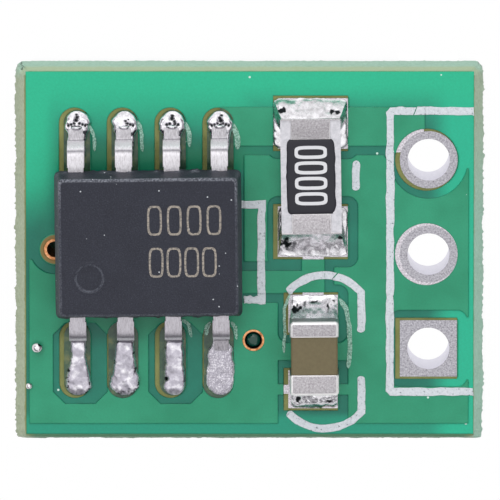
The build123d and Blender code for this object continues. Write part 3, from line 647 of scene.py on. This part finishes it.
left, front, right, back = ink_box("ink_header_outline")
end = right + ink_half
crack = left + 0.66
corners = [(left + 0.06, back), (left, back - 0.06), (left, front + 0.05), (left + 0.05, front)]
outline = [
    printed_ribbon([(end, back), (crack + 0.012, back)], (0, 0.4)),
    printed_ribbon([(crack - 0.012, back), *corners, (end, front)], (0.4, 0)),
]
printed("header_outline", "ink_header_outline", outline)
left, front, right, back = ink_box("ink_chip_bracket")
bracket = printed_ribbon([(left - ink_half, back), (right, back), (right, front), (left - 0.02, front)])
foot = np.clip(1 - np.hypot(bracket[..., 0] - left - 0.15, bracket[..., 1] - front) / 0.45, 0, 1)
bubbles = np.stack([grain(bracket[..., 0], bracket[..., 1], 0.10, seed) for seed in (3, 4)], axis=-1)
bracket[..., :2] += 0.045 * foot[..., None] * bubbles
printed("chip_bracket", "ink_chip_bracket", [bracket])
left, front, right, back = ink_box("ink_resistor_bar")
bar = printed_ribbon([(left, front - ink_half), (left, back + ink_half)], rounding=(0.1, 0.1))
printed("resistor_bar", "ink_resistor_bar", [bar])
arc_half, arc_bow = 0.975, 0.455
arc_radius = (arc_half**2 + arc_bow**2) / (2 * arc_bow)
for end in ("back", "front"):
    left, front, right, back = ink_box(f"ink_capacitor_{end}")
    side = 1 if end == "back" else -1
    peak = back if end == "back" else front
    centre_y = peak - side * arc_radius
    sweep = np.linspace(-1, 1, 40) * np.arcsin(arc_half / arc_radius)
    arc_x = right - arc_half + arc_radius * np.sin(sweep)
    arc_y = centre_y + side * arc_radius * np.cos(sweep)
    leg = (right, front if end == "back" else back)
    line = np.array([*zip(arc_x, arc_y), leg])
    arcs = [printed_ribbon(line, rounding=(0.06, 0.08))]
    if end == "back":
        # The ink has cracked right across at this point of the arc
        split = 24
        crack = 0.25 * (line[split + 1] - line[split])
        before = printed_ribbon(np.vstack((line[:split], line[split] - crack)), (0, 0.5), (0.06, 0))
        beyond = printed_ribbon(np.vstack((line[split] + crack, line[split + 1 :])), (0.5, 0), (0, 0.08))
        arcs = [before, beyond]
    printed(f"capacitor_arc_{end}", f"ink_capacitor_{end}", arcs)

# Chip moulding
# Black epoxy with a fine glass filler, moulded round the leads in two drafted halves, with a
# round pin mark. Two rows of pale hollow cells are burnt into its top by laser.
chip_bottom, chip_top = (corner[2] for corner in extent("chip_moulding"))
chip_centre = plan_middle("chip_moulding")
chip_turn = radians(0.6)
dimple_place, dimple_radius, dimple_depth = (-1.57, -0.81), 0.36, 0.05


def turned(x, y, turn, centre):
    """Points in plan, turned about the origin and then moved to a centre."""
    turned_x, turned_y = x * cos(turn) - y * sin(turn), x * sin(turn) + y * cos(turn)
    return np.stack((centre[0] + turned_x, centre[1] + turned_y), axis=-1)


black_epoxy, shader, place = finish("black_epoxy", paint(56, 59, 70), 0.5, Specular_IOR_Level=0.3)
filler = speckle(place, 0.035, 4.0, 0.8)
tone = shaded(filler, (0.3, 0.55, 0.78), (28, 30, 42), (42, 44, 56), (72, 75, 86))
cloud = ramp(speckle(place, 0.5, 3.0), (0.35, (0.85, 0.85, 0.87, 1)), (0.65, grey(1)))
tone = blend_tones(1.0, tone, cloud, "MULTIPLY")
# The ring of the pin mark is painted lighter in patches, and the rounded rim of the top face
# carries a painted highlight, broken into specks and brighter along the back
pin_mark = (*turned(*dimple_place, chip_turn, chip_centre), chip_top)
off_mark = faded(distance_from(place, pin_mark), 0.30 * mm, 0.42 * mm)
ring = ramp(off_mark, (0.3, grey(0)), (0.5, grey(1)), (0.7, grey(0)))
ring_patches = ramp(speckle(place, 0.25, 3.0), (0.45, grey(0)), (0.6, grey(1)))
tone = blend_tones(product(ring, ring_patches), tone, paint(92, 96, 106))
glint_specks = ramp(speckle(place, 0.05, 4.0, 0.8), (0.42, grey(0.05)), (0.62, grey(1)))
glint = product(rim_glint(place), glint_specks)
back_glint = step(axes(place)["Y"], 1.2, 1.9)
rim_highlight_tone = blend_tones(back_glint, paint(86, 89, 99), paint(132, 135, 145))
tone = blend_tones(glint, tone, rim_highlight_tone)
crumbs = dust_specks(place, 0.16, 0.02, 0.90)
feed(blend_tones(crumbs, tone, paint(190, 194, 200)), shader)
emboss(shader, filler, 0.012, 0.8)


def cell_ring(centre, width, height, line, level, thickness, turn):
    """Hollow rounded cell: a superellipse path of the fourth power, swept with a flat section."""
    angle = np.linspace(0, 2 * pi, 64, endpoint=False)[:, None]
    c, s = np.cos(angle), np.sin(angle)
    reach = np.array([(-line / 2, 0), (line / 2, 0), (line / 2, thickness), (-line / 2, thickness)])
    x = np.sign(c) * np.abs(c) ** 0.5 * (width / 2 - line / 2 + reach[None, :, 0])
    y = np.sign(s) * np.abs(s) ** 0.5 * (height / 2 - line / 2 + reach[None, :, 0])
    z = level + reach[None, :, 1] + 0 * x
    return np.concatenate((turned(x, y, turn, centre), z[..., None]), axis=-1)


marks = []
for row_y, row_start, pitch in ((0.725, -0.09, 0.525), (-0.40, -0.03, 0.47)):
    for n in range(4):
        centre = turned(row_start + pitch * (n + 0.5), row_y, chip_turn, chip_centre)
        marks.append(cell_ring(centre, 0.39, 0.80, 0.055, chip_top - 0.003, 0.007, chip_turn))
laser_mark, shader, place = finish("laser_mark", paint(160, 150, 138), 0.8)
burn = speckle(place, 0.05, 3.0, 0.7)
feed(shaded(burn, (0.35, 0.6), (96, 94, 94), (168, 158, 146)), shader)
fitted(surface("chip_marks", marks, wrap_u=True, wrap_v=True, smooth=False), laser_mark, "black_epoxy")


def rounded_copy(name, source, width, segments=3):
    """Copy of a CAD node with its points merged and its sharp edges rounded."""
    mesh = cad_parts[source].data.copy()
    mesh.materials.clear()
    piece = bpy.data.objects.new(name, mesh)
    bpy.context.scene.collection.objects.link(piece)
    sealed(piece)
    mesh.polygons.foreach_set("use_smooth", [True] * len(mesh.polygons))
    edges = piece.modifiers.new("edges", "BEVEL")
    edges.width = width * mm
    edges.segments = segments
    edges.limit_method = "ANGLE"
    edges.angle_limit = radians(40)
    return piece


moulding_half = np.array((4.96, 3.9)) / 2
draft_slope = np.tan(radians(11))
top_round, corner_round, lead_thickness = 0.11, 0.13, 0.20
parting_high = extent("chip_lead_1")[1][2]
parting_low = parting_high - lead_thickness
quarter = np.linspace(0, pi / 2, 7)
flank = (chip_top - parting_high - top_round) * draft_slope
under_inset = (parting_low - chip_bottom) * draft_slope
# Each row: inset from the parting outline and height
skirt = [
    (under_inset + 0.04, chip_bottom),
    (under_inset, chip_bottom + 0.03),
    *((under_inset * (1 - k), chip_bottom + (parting_low - chip_bottom) * k) for k in (0.35, 0.7)),
    *((0, parting_low + lead_thickness * k) for k in (0, 0.35, 0.65, 1)),
    *((flank * k, parting_high + (chip_top - top_round - parting_high) * k) for k in (0.15, 0.4, 0.7)),
    *((flank + top_round * (1 - cos(q)), chip_top - top_round * (1 - sin(q))) for q in quarter),
]
turns = np.linspace(0, 4, 720, endpoint=False)
quadrant, way = turns.astype(int), turns % 1 * 2 - 1
unit = np.array([(1, 0), (0, 1), (-1, 0), (0, -1)])[quadrant]
square = unit + way[:, None] * np.stack((-unit[:, 1], unit[:, 0]), axis=-1)


def moulded_outline(half):
    """Rectangle with rounded corners: each point p of the rectangle is moved to
    q + r (p - q) / |p - q|, where q is p held inside the rectangle that is smaller by the
    radius r on all sides."""
    p = square * half
    r = np.minimum(corner_round, half.min())
    q = np.clip(p, r - half, half - r)
    return q + r * (p - q) / np.maximum(np.linalg.norm(p - q, axis=-1, keepdims=True), 1e-9)


rows = [moulded_outline(moulding_half - inset) for inset, level in skirt]
rows += [rows[-1] * scale for scale in np.linspace(1, 0, 81)[1:]]
levels = [level for inset, level in skirt] + [chip_top] * (len(rows) - len(skirt))
plan = np.stack(rows)
rise_here = np.array(levels)[:, None] + np.zeros(len(turns))
# Flash: the parting line is torn between the leads on the two long sides
at_parting = bell(rise_here, parting_high - 0.08, 0.08) * (np.abs(plan[..., 1]) > 1.9)
tearing = 0.035 * (0.6 + roughness_field(plan[..., 0], rise_here, 0.12, 71)) * at_parting
plan[..., 1] += np.sign(plan[..., 1]) * tearing
waves = [roughness_field(plan[..., 0] + rise_here, plan[..., 1], 0.5, seed) for seed in (72, 73)]
plan += 0.006 * np.stack(waves, axis=-1)
off_dimple = np.hypot(plan[..., 0] - dimple_place[0], plan[..., 1] - dimple_place[1])
sunk = np.clip((dimple_radius - off_dimple) / 0.05 + 0.5, 0, 1)
on_face = rise_here > chip_top - 0.001
rise_here = rise_here - dimple_depth * eased(sunk) * on_face
rise_here = rise_here + 0.010 * bell(off_dimple, dimple_radius + 0.05, 0.03) * on_face
rise_here[0] = chip_bottom
body_plan = turned(plan[..., 0], plan[..., 1], chip_turn, chip_centre)
body_grid = np.concatenate((body_plan, rise_here[..., None]), axis=-1)
base = body_grid[:1] * (0, 0, 1) + (*chip_centre, 0)
chip_body = surface("chip_body", [np.concatenate((base, body_grid))], wrap_v=True)
fitted(chip_body, black_epoxy, "black_epoxy", "chip_moulding")

# Leads
# Gull wings stamped from copper alloy sheet and dipped in tin, so every edge is rounded and
# the shoulders shine. The feet stand in solder.
tinned_lead, shader, place = finish("tinned_lead", paint(224, 221, 224), 0.3, 1.0)
spot = axes(place)
drawn = node(place, "Mapping", Vector=place, Scale=(3, 0.6, 1)).outputs[0]
streaks = speckle(drawn, 0.07, 4.0, 0.75)
foot_top = extent("chip_lead_5")[0][2] + lead_thickness
footed = step(spot["Z"], foot_top + 0.12, foot_top + 0.01)
bright = shaded(streaks, (0.3, 0.5, 0.75), (166, 162, 166), (208, 205, 210), (226, 224, 229))
dull = shaded(streaks, (0.3, 0.55, 0.75), (136, 133, 138), (188, 185, 190), (216, 214, 219))
tone = blend_tones(footed, bright, dull)
# The front row of leads is painted darker, a painted shade
shaded_front_row = combined("LESS_THAN", spot["Y"], 0.0)
tone = blend_tones(shaded_front_row, tone, (0.66, 0.65, 0.67, 1), "MULTIPLY")
# Flat stretches are metallic and slopes less so. The slopes are painted lighter, a painted highlight, and
# the near-upright sides and the turn from slope to flat are painted darker, a painted shade
upward = upness(place)
painted_slope_stops = [(0.02, (0.5, 0.5, 0.52, 1)), (0.1, grey(1.2)), (0.66, grey(1.2)), (0.8, (0.4, 0.4, 0.42, 1))]
slope_light_and_crease_shade = ramp(upward, *painted_slope_stops, (0.93, grey(1)))
feed(blend_tones(1.0, tone, slope_light_and_crease_shade, "MULTIPLY"), shader)
feed(faded(upward, 0.8, 0.6, 1.0, 0.1), shader, "Metallic")
emboss(shader, streaks, 0.012, 0.9)
for pin in range(1, 9):
    source = f"chip_lead_{pin}"
    fitted(rounded_copy(f"tinned_lead_{pin}", source, 0.035), tinned_lead, "tinned_lead", source)

# Chip solder
# Each foot is soldered to a long rounded pad. On the back row the solder domes up at the toe,
# with a pit where it shrank; on the front row it runs over the pad as a frosty slab.
def solder_finish(name, frosting, low, high, bumpiness, tint=(220, 217, 223)):
    """Solder: tin whose grain dulls it between two roughnesses. Marks blacken it where they are
    positive, as staining, and whiten it where they are negative, as a painted highlight."""
    material, shader, place = finish(name, paint(220, 217, 222), 0.2, 1.0)
    frost = speckle(place, frosting, 4.0, 0.65)
    tone = shaded(frost, (0.3, 0.5, 0.7), [0.85 * v for v in tint], tint, (242, 240, 244))
    stain_and_highlight = node(place, "Attribute", {"attribute_name": "stain_and_highlight"}).outputs["Fac"]
    settings = {"operation": "MULTIPLY", "use_clamp": True}
    for sign, colour in ((-1.0, (250, 249, 252)), (1.0, (30, 34, 36))):
        amount = node(stain_and_highlight, "Math", settings, input_0=stain_and_highlight, input_1=sign).outputs[0]
        tone = blend_tones(amount, tone, paint(*colour))
    feed(tone, shader)
    feed(faded(frost, 0.3, 0.7, low, high), shader, "Roughness")
    emboss(shader, frost, bumpiness, 0.7)
    return material


bright_solder = solder_finish("bright_solder", 0.12, 0.10, 0.26, 0.008)
torn_solder = solder_finish("torn_solder", 0.16, 0.18, 0.34, 0.012, (214, 212, 216))
frosty_solder = solder_finish("frosty_solder", 0.22, 0.34, 0.42, 0.008, (180, 176, 187))
sandy_solder = solder_finish("sandy_solder", 0.035, 0.34, 0.44, 0.010, (164, 160, 171))


def smooth_curve(t, stops):
    """Value at each share t of a curve that eases between equally spaced stops."""
    stops = np.array(stops)
    place_on = np.clip(t, 0, 1) * (len(stops) - 1)
    low = np.minimum(place_on.astype(int), len(stops) - 2)
    u = eased(place_on - low)
    return stops[low] * (1 - u) + stops[low + 1] * u


def closed_shell(plan, height, base):
    """Grid of a surface at that height over points in plan, and of its flat base, mirrored."""
    top = np.concatenate((plan, height[..., None]), axis=-1)
    under = np.concatenate((plan, np.full_like(plan[..., :1], base)), axis=-1)[:, -2:0:-1]
    return np.concatenate((top, under), axis=1)


def solder_mound(
    x, tip, heel, widths, crowns, squareness, seed, ripple=0.008, pits=(), rot=(0, 0), rim_light=0
):
    """Closed mound along a pad, and its marks of staining and painted highlight: half-width w and crown h
    are smooth curves from tip to heel, and a point at share s of the half-width lies at height
    h (1 - |s|^squareness)^0.5. Pits, each given as dx, dy from the tip, radius and depth, are Gaussian
    hollows. The two shares of rot darken grains along the rim and at the tip, and rim_light whitens
    the rim with a painted highlight."""
    t = np.linspace(0, 1, 150)[:, None]
    s = np.sin(np.linspace(-pi / 2, pi / 2, 61))[None, :]
    length = abs(heel - tip)
    along = t * length
    tip_round = rounded_end(along, widths[0])
    heel_round = rounded_end(length - along, widths[-1])
    shore = 1 + 0.10 * roughness_field(along + 0 * s, np.sign(s) * 3 + seed + 0 * along, 0.22, seed)
    w = smooth_curve(t, widths) * tip_round * heel_round * shore
    y = tip + np.sign(heel - tip) * along + 0 * s
    px = x + s * w
    dome = np.clip(1 - np.abs(s) ** squareness, 0, 1) ** 0.5
    lift = np.clip(tip_round * heel_round, 0, 1) ** 0.7
    rough = roughness_field(px * 1.3, y, 0.18, seed + 3) * ripple * dome
    height = smooth_curve(t, crowns) * lift * dome + rough * lift
    stain_and_highlight = 0 * px
    for dx, dy, radius, depth in pits:
        hole = bell(px, x + dx, radius) * bell(along, dy, radius)
        height = height - depth * hole
        stain_and_highlight = np.maximum(stain_and_highlight, np.clip(2.6 * hole - 0.65, 0, 1))
    decay = roughness_field(px, y, 0.07, seed + 5, 2)
    stain_and_highlight = np.maximum(stain_and_highlight, np.clip((decay - 0.55) * 6, 0, 1) * rot[0] * (np.abs(s) > 0.72))
    stain_and_highlight = np.maximum(stain_and_highlight, np.clip((decay - 0.35) * 5, 0, 1) * rot[1] * np.clip(1 - along / 0.3, 0, 1))
    stain_and_highlight = stain_and_highlight - rim_light * bell(np.abs(s), 0.93, 0.05) * (stain_and_highlight < 0.1)
    z = pad_level + np.clip(height, 0.003, None)
    grid = closed_shell(np.stack((px, y), axis=-1), z, pad_level + 0.001)
    return grid, np.concatenate((stain_and_highlight, 0 * stain_and_highlight[:, -2:0:-1]), axis=1)


def soldered(name, shape, metal, *hidden):
    """Makes a piece of solder from its closed grid and its marks of staining and painted highlight."""
    grid, stains_and_highlights = shape
    fitted(surface(name, [grid], wrap_v=True, stains_and_highlights=[stains_and_highlights]), metal, "solder", *hidden)


back_tip = extent("chip_solder_5")[1][1] + 0.01
front_tip = extent("chip_solder_1")[0][1] - 0.01
back_heel, front_heel = 2.45, -2.16
# Pits: a chain down the middle of the dome, and the two arms of the junction with the foot
arms = [(side * 0.075 * n, 0.30 + 0.028 * n, 0.042, 0.05) for n in (1, 2, 3) for side in (-1, 1)]
back_pits = {
    8: [(-0.01, 0.10, 0.035, 0.03), (0.01, 0.17, 0.05, 0.06), (-0.02, 0.245, 0.055, 0.08), *arms],
    7: [(0.03, 0.26, 0.035, 0.03), (0.10, 0.22, 0.025, 0.02), *arms[1::2]],
    6: [(0.0, 0.13, 0.045, 0.04), (-0.01, 0.20, 0.06, 0.07), (0.05, 0.27, 0.04, 0.05), *arms[:4]],
    5: [(0.04, 0.12, 0.035, 0.04), (-0.01, 0.19, 0.05, 0.06), (0.02, 0.26, 0.055, 0.08), *arms],
}
back_widths = (0.35, 0.365, 0.35, 0.28, 0.25, 0.235, 0.23)
back_crowns = (0.10, 0.19, 0.19, 0.14, 0.12, 0.11, 0.10)
for pin, pits in back_pits.items():
    source = f"chip_solder_{pin}"
    ends = (plan_middle(source)[0], back_tip, back_heel)
    shape = solder_mound(*ends, back_widths, back_crowns, 5.0, pin * 7, pits=pits)
    soldered(f"solder_joint_{pin}", shape, bright_solder, source)

# A cap of solder over the tip of each back foot
cap_widths, cap_crowns = (0.12, 0.19, 0.19, 0.17), (0.22, 0.31, 0.29, 0.20)
for pin in (5, 6, 7, 8):
    foot_tip = extent(f"chip_lead_{pin}")[1][1]
    ends = (plan_middle(f"chip_lead_{pin}")[0] + 0.012, foot_tip + 0.12, foot_tip - 0.10)
    soldered(f"toe_cap_{pin}", solder_mound(*ends, cap_widths, cap_crowns, 3.0, pin * 3), bright_solder)

wicked = (0.12, 0.17, 0.20, 0.22, 0.25, 0.27)
flooded = (0.10, 0.10, 0.10, 0.11, 0.12, 0.12, 0.09, 0.07)
# Each row: shift along the board, half-widths from the tip, crowns, ripple, and the dark shares
# of rim and tip
front_shapes = {
    1: (0.03, (0.30, 0.335, 0.31, 0.27, 0.235, 0.21, 0.205, 0.19), (*wicked, 0.27, 0.10), 0.01, (0.9, 0.5)),
    2: (0.0, (0.34, 0.41, 0.39, 0.33, 0.28, 0.265, 0.27, 0.22), (*wicked, 0.28, 0.10), 0.015, (0.9, 1.0)),
    3: (0.05, (0.27, 0.31, 0.28, 0.26, 0.26, 0.26, 0.245, 0.20), (*wicked, 0.27, 0.10), 0.01, (0.5, 0.3)),
    4: (0.01, (0.34, 0.375, 0.38, 0.38, 0.375, 0.36, 0.24, 0.22), flooded, 0.012, (0.0, 0.0)),
}
for pin, (shift, widths, crowns, ripple, rot) in front_shapes.items():
    source = f"chip_solder_{pin}"
    ends = (plan_middle(source)[0] + shift, front_tip, front_heel)
    pits = [(-0.22, 0.47, 0.05, 0.12)] if pin == 3 else []
    shape = solder_mound(*ends, widths, crowns, 9.0, pin * 5, ripple, pits, rot, 0.9)
    soldered(f"solder_joint_{pin}", shape, sandy_solder if pin == 4 else frosty_solder, source)

# Sense resistor
# A white ceramic chip with a resistive film under a black glaze, and tinned terminals wrapped
# round both ends. A column of pale hollow cells is printed on the glaze.
ceramic_white, shader, place = finish("ceramic_white", paint(206, 204, 210), 0.45)
chalk = speckle(place, 0.09, 3.0)
feed(shaded(chalk, (0.3, 0.7), (188, 188, 194), (216, 214, 220)), shader)
dress(["resistor_ceramic"], ceramic_white)

glaze, shader, place = finish("black_glaze", paint(34, 33, 42), 0.4, Specular_IOR_Level=0.3)
emboss(shader, speckle(place, 0.06, 3.0), 0.008, 0.6)
dress(["resistor_film"], glaze)

tin_cap, shader, place = finish("terminal_tin", paint(186, 181, 184), 0.34, 1.0)
sand = speckle(place, 0.05, 5.0, 0.8)
sand_tone = shaded(sand, (0.3, 0.5, 0.7), (128, 123, 127), (172, 168, 172), (210, 207, 211))
feed(blend_tones(rim_glint(place), sand_tone, paint(248, 246, 246)), shader)
emboss(shader, sand, 0.016, 1.0)
for end in ("back", "front"):
    source = f"resistor_terminal_{end}"
    fitted(rounded_copy(f"resistor_cap_{end}", source, 0.018), tin_cap, "tinned_terminal", source)

coat_low, coat_high = extent("resistor_coat")
coat_centre = plan_middle("resistor_coat")
resistor_turn = radians(0.8)


def glazed_slab(centre, width, height, level, thickness, turn, wave, seed):
    """Closed slab: the square |s|, |t| < 1 drawn in to (|s|^12 + |t|^12)^(1/12) = 1, whose edge
    waves with grain and whose top falls off as ((1 - s^16)(1 - t^16))^0.5."""
    line = np.sin(np.linspace(-pi / 2, pi / 2, 61))
    s, t = line[:, None] + 0 * line, line + 0 * line[:, None]
    reach = np.maximum(np.abs(s), np.abs(t))
    pull = reach / np.maximum((np.abs(s) ** 12 + np.abs(t) ** 12) ** (1 / 12), 1e-9)
    x, y = s * pull * width / 2, t * pull * height / 2
    x = x + wave * roughness_field(y, np.sign(s), 0.25, seed, 2) * np.abs(s) ** 8
    y = y + wave * roughness_field(x, np.sign(t), 0.25, seed + 4, 2) * np.abs(t) ** 8
    fall = np.sqrt(np.clip((1 - s**16) * (1 - t**16), 0, 1))
    return closed_shell(turned(x, y, turn, centre), level + thickness * fall, level)


# The solid is turned, so its box is longer each way by the turn's share of the other side
coat_box = coat_high - coat_low
coat_size = coat_box[:2] - 0.014 * coat_box[1::-1]
coat = glazed_slab(coat_centre, *coat_size, coat_low[2], coat_box[2], resistor_turn, 0.016, 61)
fitted(surface("resistor_glaze", [coat], wrap_v=True), glaze, "black_glaze", "resistor_coat")
code_pitch = 0.415
code = []
for n in range(4):
    centre = turned(0, 0.035 + code_pitch * (1.5 - n), resistor_turn, coat_centre)
    code.append(cell_ring(centre, 0.86, 0.35, 0.09, coat_high[2] - 0.003, 0.010, resistor_turn))
code_ink, shader, place = finish("code_ink", paint(214, 214, 218), 0.55)
fitted(surface("resistor_code", code, wrap_u=True, wrap_v=True, smooth=False), code_ink, "black_glaze")

# Ceramic capacitor
# A brown block, fired from many thin layers of ceramic and metal. Silvery plating is dipped
# over both its ends, and solder from the pads wets it.
fired_brown, shader, place = finish("fired_brown", paint(114, 105, 84), 0.4, Specular_IOR_Level=0.3)
layers = speckle(place, 0.08, 3.0)
feed(shaded(layers, (0.3, 0.7), (102, 92, 66), (110, 100, 72)), shader)
dress(["capacitor_ceramic"], fired_brown)
for end in ("back", "front"):
    source = f"capacitor_terminal_{end}"
    fitted(rounded_copy(f"capacitor_cap_{end}", source, 0.07, 4), tin_cap, "tinned_terminal", source)

# Component solder
# Solder wicks from the oblong pads up the plated ends of the resistor and the capacitor. It
# hangs as a concave bank from the plating to the pad's edge, with a torn rim and deep folds.
def solder_collar(source, body, side, rise, low_rise, hollow, seed, spots, left_reach):
    """Closed bank round three sides of a component's end, and its marks of staining and painted highlight.
    From the body (v = 0) to the pad's edge (v = 1) its height is rise (1 - v)^hollow plus a rim that falls
    off at v = 1, with folds of grain. Along the two sides the rise shrinks to low_rise, and the ends
    close. Spots, each u, v and their two spreads, are stained, and the rim and the foot at the
    plating are whitened with a painted highlight."""
    low, high = extent(source)
    body_low, body_high = extent(body)
    x0, x1 = low[0] - left_reach, high[0]
    b0, b1 = body_low[0] + 0.03, body_high[0] - 0.03
    near, far = (low[1], high[1])[::side]
    tip = (body_high if side > 0 else body_low)[1] - side * 0.02
    inner_stops = np.array([(b0, near), (b0, tip), (b1, tip), (b1, near)])
    outer_stops = np.array([(x0, near), (x0, far), (x1, far), (x1, near)])
    knots = np.array((0, 0.3, 0.7, 1.0))
    u = np.linspace(0, 1, 260)
    inner = np.stack([np.interp(u, knots, inner_stops[:, k]) for k in (0, 1)], axis=-1)
    outer = np.stack([np.interp(u, knots, outer_stops[:, k]) for k in (0, 1)], axis=-1)
    corner = bell(u, 0.3, 0.02) + bell(u, 0.7, 0.02)
    torn = 0.02 * roughness_field(u * 9, u * 0 + seed, 0.5, seed) - 0.05 * corner
    spread = outer - inner
    spread = spread * (1 + torn / np.maximum(np.linalg.norm(spread, axis=1), 0.08))[:, None]
    from_end = np.minimum(u, 1 - u)
    closing = rounded_end(from_end, 0.04)
    v = np.linspace(0, 1, 34)[None, :]
    across = inner[:, None] + spread[:, None] * v[..., None] * closing[:, None, None]
    at_end = eased(np.clip((from_end - 0.16) / 0.16, 0, 1))[:, None]
    height = (low_rise + (rise - low_rise) * at_end) * (1 - v) ** hollow
    folds = roughness_field(across[..., 0], across[..., 1], 0.26, seed + 9)
    height = height * (1 + 0.25 * folds * v) + 0.035 * np.clip(1 - v**6, 0, 1) ** 0.5
    height = height + 0.012 * folds * np.sin(pi * v) ** 0.7
    stain_and_highlight = 0 * height
    for spot_u, spot_v, spread_u, spread_v in spots:
        hole = bell(u[:, None], spot_u, spread_u) * bell(v, spot_v, spread_v)
        edge = hole + 0.7 * hole**0.3 * roughness_field(across[..., 0], across[..., 1], 0.09, seed + 2, 2)
        stain_and_highlight = np.maximum(stain_and_highlight, np.clip((edge - 0.5) * 4, 0, 1))
        height = height - 0.04 * hole
    edge_light = bell(v, 0.93, 0.035) + 0.7 * bell(v, 0.03, 0.04)
    flicker = np.clip(0.7 + grain(across[..., 0], across[..., 1], 0.12, seed + 5), 0, 1)
    stain_and_highlight = stain_and_highlight - 0.8 * edge_light * flicker * (stain_and_highlight < 0.1)
    z = pad_level + np.clip(height, 0.004, None) * closing[:, None] * np.clip(1 - v**12, 0.0, 1) + 0.002
    top = np.concatenate((across, z[..., None]), axis=-1)
    floor_z = np.full((len(u), 2, 1), pad_level + 0.001)
    under = np.concatenate((across[:, (-1, 0)], floor_z), axis=-1)
    stains_and_highlights = np.concatenate((stain_and_highlight, np.zeros((len(u), 2))), axis=1)
    return np.concatenate((top, under), axis=1), stains_and_highlights


resistor_back_spots = ((0.33, 0.40, 0.03, 0.16), (0.655, 0.35, 0.045, 0.15))
resistor_front_spots = ((0.335, 0.45, 0.04, 0.3), (0.69, 0.2, 0.02, 0.12))
capacitor_back_spots = ((0.35, 0.42, 0.06, 0.22), (0.66, 0.45, 0.05, 0.26), (0.5, 0.72, 0.05, 0.08))
capacitor_front_spots = ((0.36, 0.5, 0.02, 0.2), (0.62, 0.6, 0.03, 0.15))
# Each row: component, end, its way along Y, rise, rise along the sides, hollowness, seed, spots
collars = (
    ("resistor", "back", 1, 0.44, 0.05, 1.0, 3, resistor_back_spots),
    ("resistor", "front", -1, 0.42, 0.05, 2.0, 8, resistor_front_spots),
    ("capacitor", "back", 1, 0.60, 0.12, 1.7, 14, capacitor_back_spots),
    ("capacitor", "front", -1, 0.34, 0.10, 0.6, 21, capacitor_front_spots),
)
for component, end, *bank in collars:
    source = f"{component}_solder_{end}"
    left_reach = 0.14 if source == "resistor_solder_back" else 0.0
    shape = solder_collar(source, f"{component}_terminal_{end}", *bank, left_reach)
    soldered(f"{component}_collar_{end}", shape, torn_solder, source)

# Flux
# Rosin squeezed out at the joints has dried to thin clear films and drops beside the leads and
# along the capacitor. It is pale where it has cracked off the mask, and its pale teal colour is
# partly a painted highlight along the films' edges.
flux_and_sheen, shader, place = finish("flux_and_sheen", paint(170, 214, 196), 0.12, Alpha=0.45)
crazing = speckle(place, 0.05, 4.0, 0.7)
clearness = ramp(crazing, (0.38, grey(0.15)), (0.5, grey(0.42)), (0.62, grey(0.8)))
feed(clearness, shader, "Alpha")
emboss(shader, crazing, 0.02, 0.8)


def flux_film(name, start, shifts, half):
    """Thin film along a path with rounded ends. The path's points are given as shifts in X from
    a start, and as Y."""
    path = [(start + shift, y) for shift, y in shifts]
    ribbon = printed_ribbon(path, rounding=(0.2, 0.2), half=half)
    ribbon[..., 2] = mask_over_level + 0.004
    piece = surface(name, [ribbon], merge=0.0001)
    thickened(piece, 0.02)
    piece.data.materials.append(flux_and_sheen)
    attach(piece, "root")


streaks = ((8, 3.45, 2.74, 0.045), (7, 3.57, 2.74, 0.05), (6, 3.55, 2.86, 0.055), (5, 3.50, 2.78, 0.07))
for pin, high_y, low_y, half in streaks:
    shifts = [(0.33, high_y), (0.41, high_y - 0.2), (0.45, (high_y + low_y) / 2), (0.47, low_y)]
    flux_film(f"flux_streak_{pin}", plan_middle(f"chip_solder_{pin}")[0], shifts, half)
third_x, fourth_x = (plan_middle(f"chip_solder_{pin}")[0] for pin in (3, 4))
flux_film("flux_crescent_3", third_x, [(0.22, -1.78), (0.42, -1.92), (0.50, -2.28)], 0.045)
flux_film("flux_crescent_4", fourth_x, [(-0.26, -1.84), (-0.36, -2.0), (-0.38, -2.22)], 0.06)
flux_film("flux_tail_4", fourth_x, [(0.27, -1.84), (0.40, -2.0), (0.44, -2.34)], 0.05)
cap_left, cap_right = (corner[0] for corner in extent("capacitor_ceramic"))
right_bank = [(0.06, -1.2), (0.22, -1.5), (0.30, -1.86), (0.32, -2.6), (0.28, -3.1)]
left_bank = [(-0.02, -1.08), (-0.17, -1.5), (-0.16, -2.2), (-0.20, -2.7)]
flux_film("flux_capacitor_right", cap_right, right_bank, 0.06)
flux_film("flux_capacitor_left", cap_left, left_bank, 0.04)

# Solder beads
# Two stray balls of solder, spattered when the parts were soldered. They froze against the
# mask by the left edge.
bead_metal, shader, place = finish("bead_metal", paint(214, 212, 214), 0.12, 1.0)
dress(["solder_beads"], bead_metal)
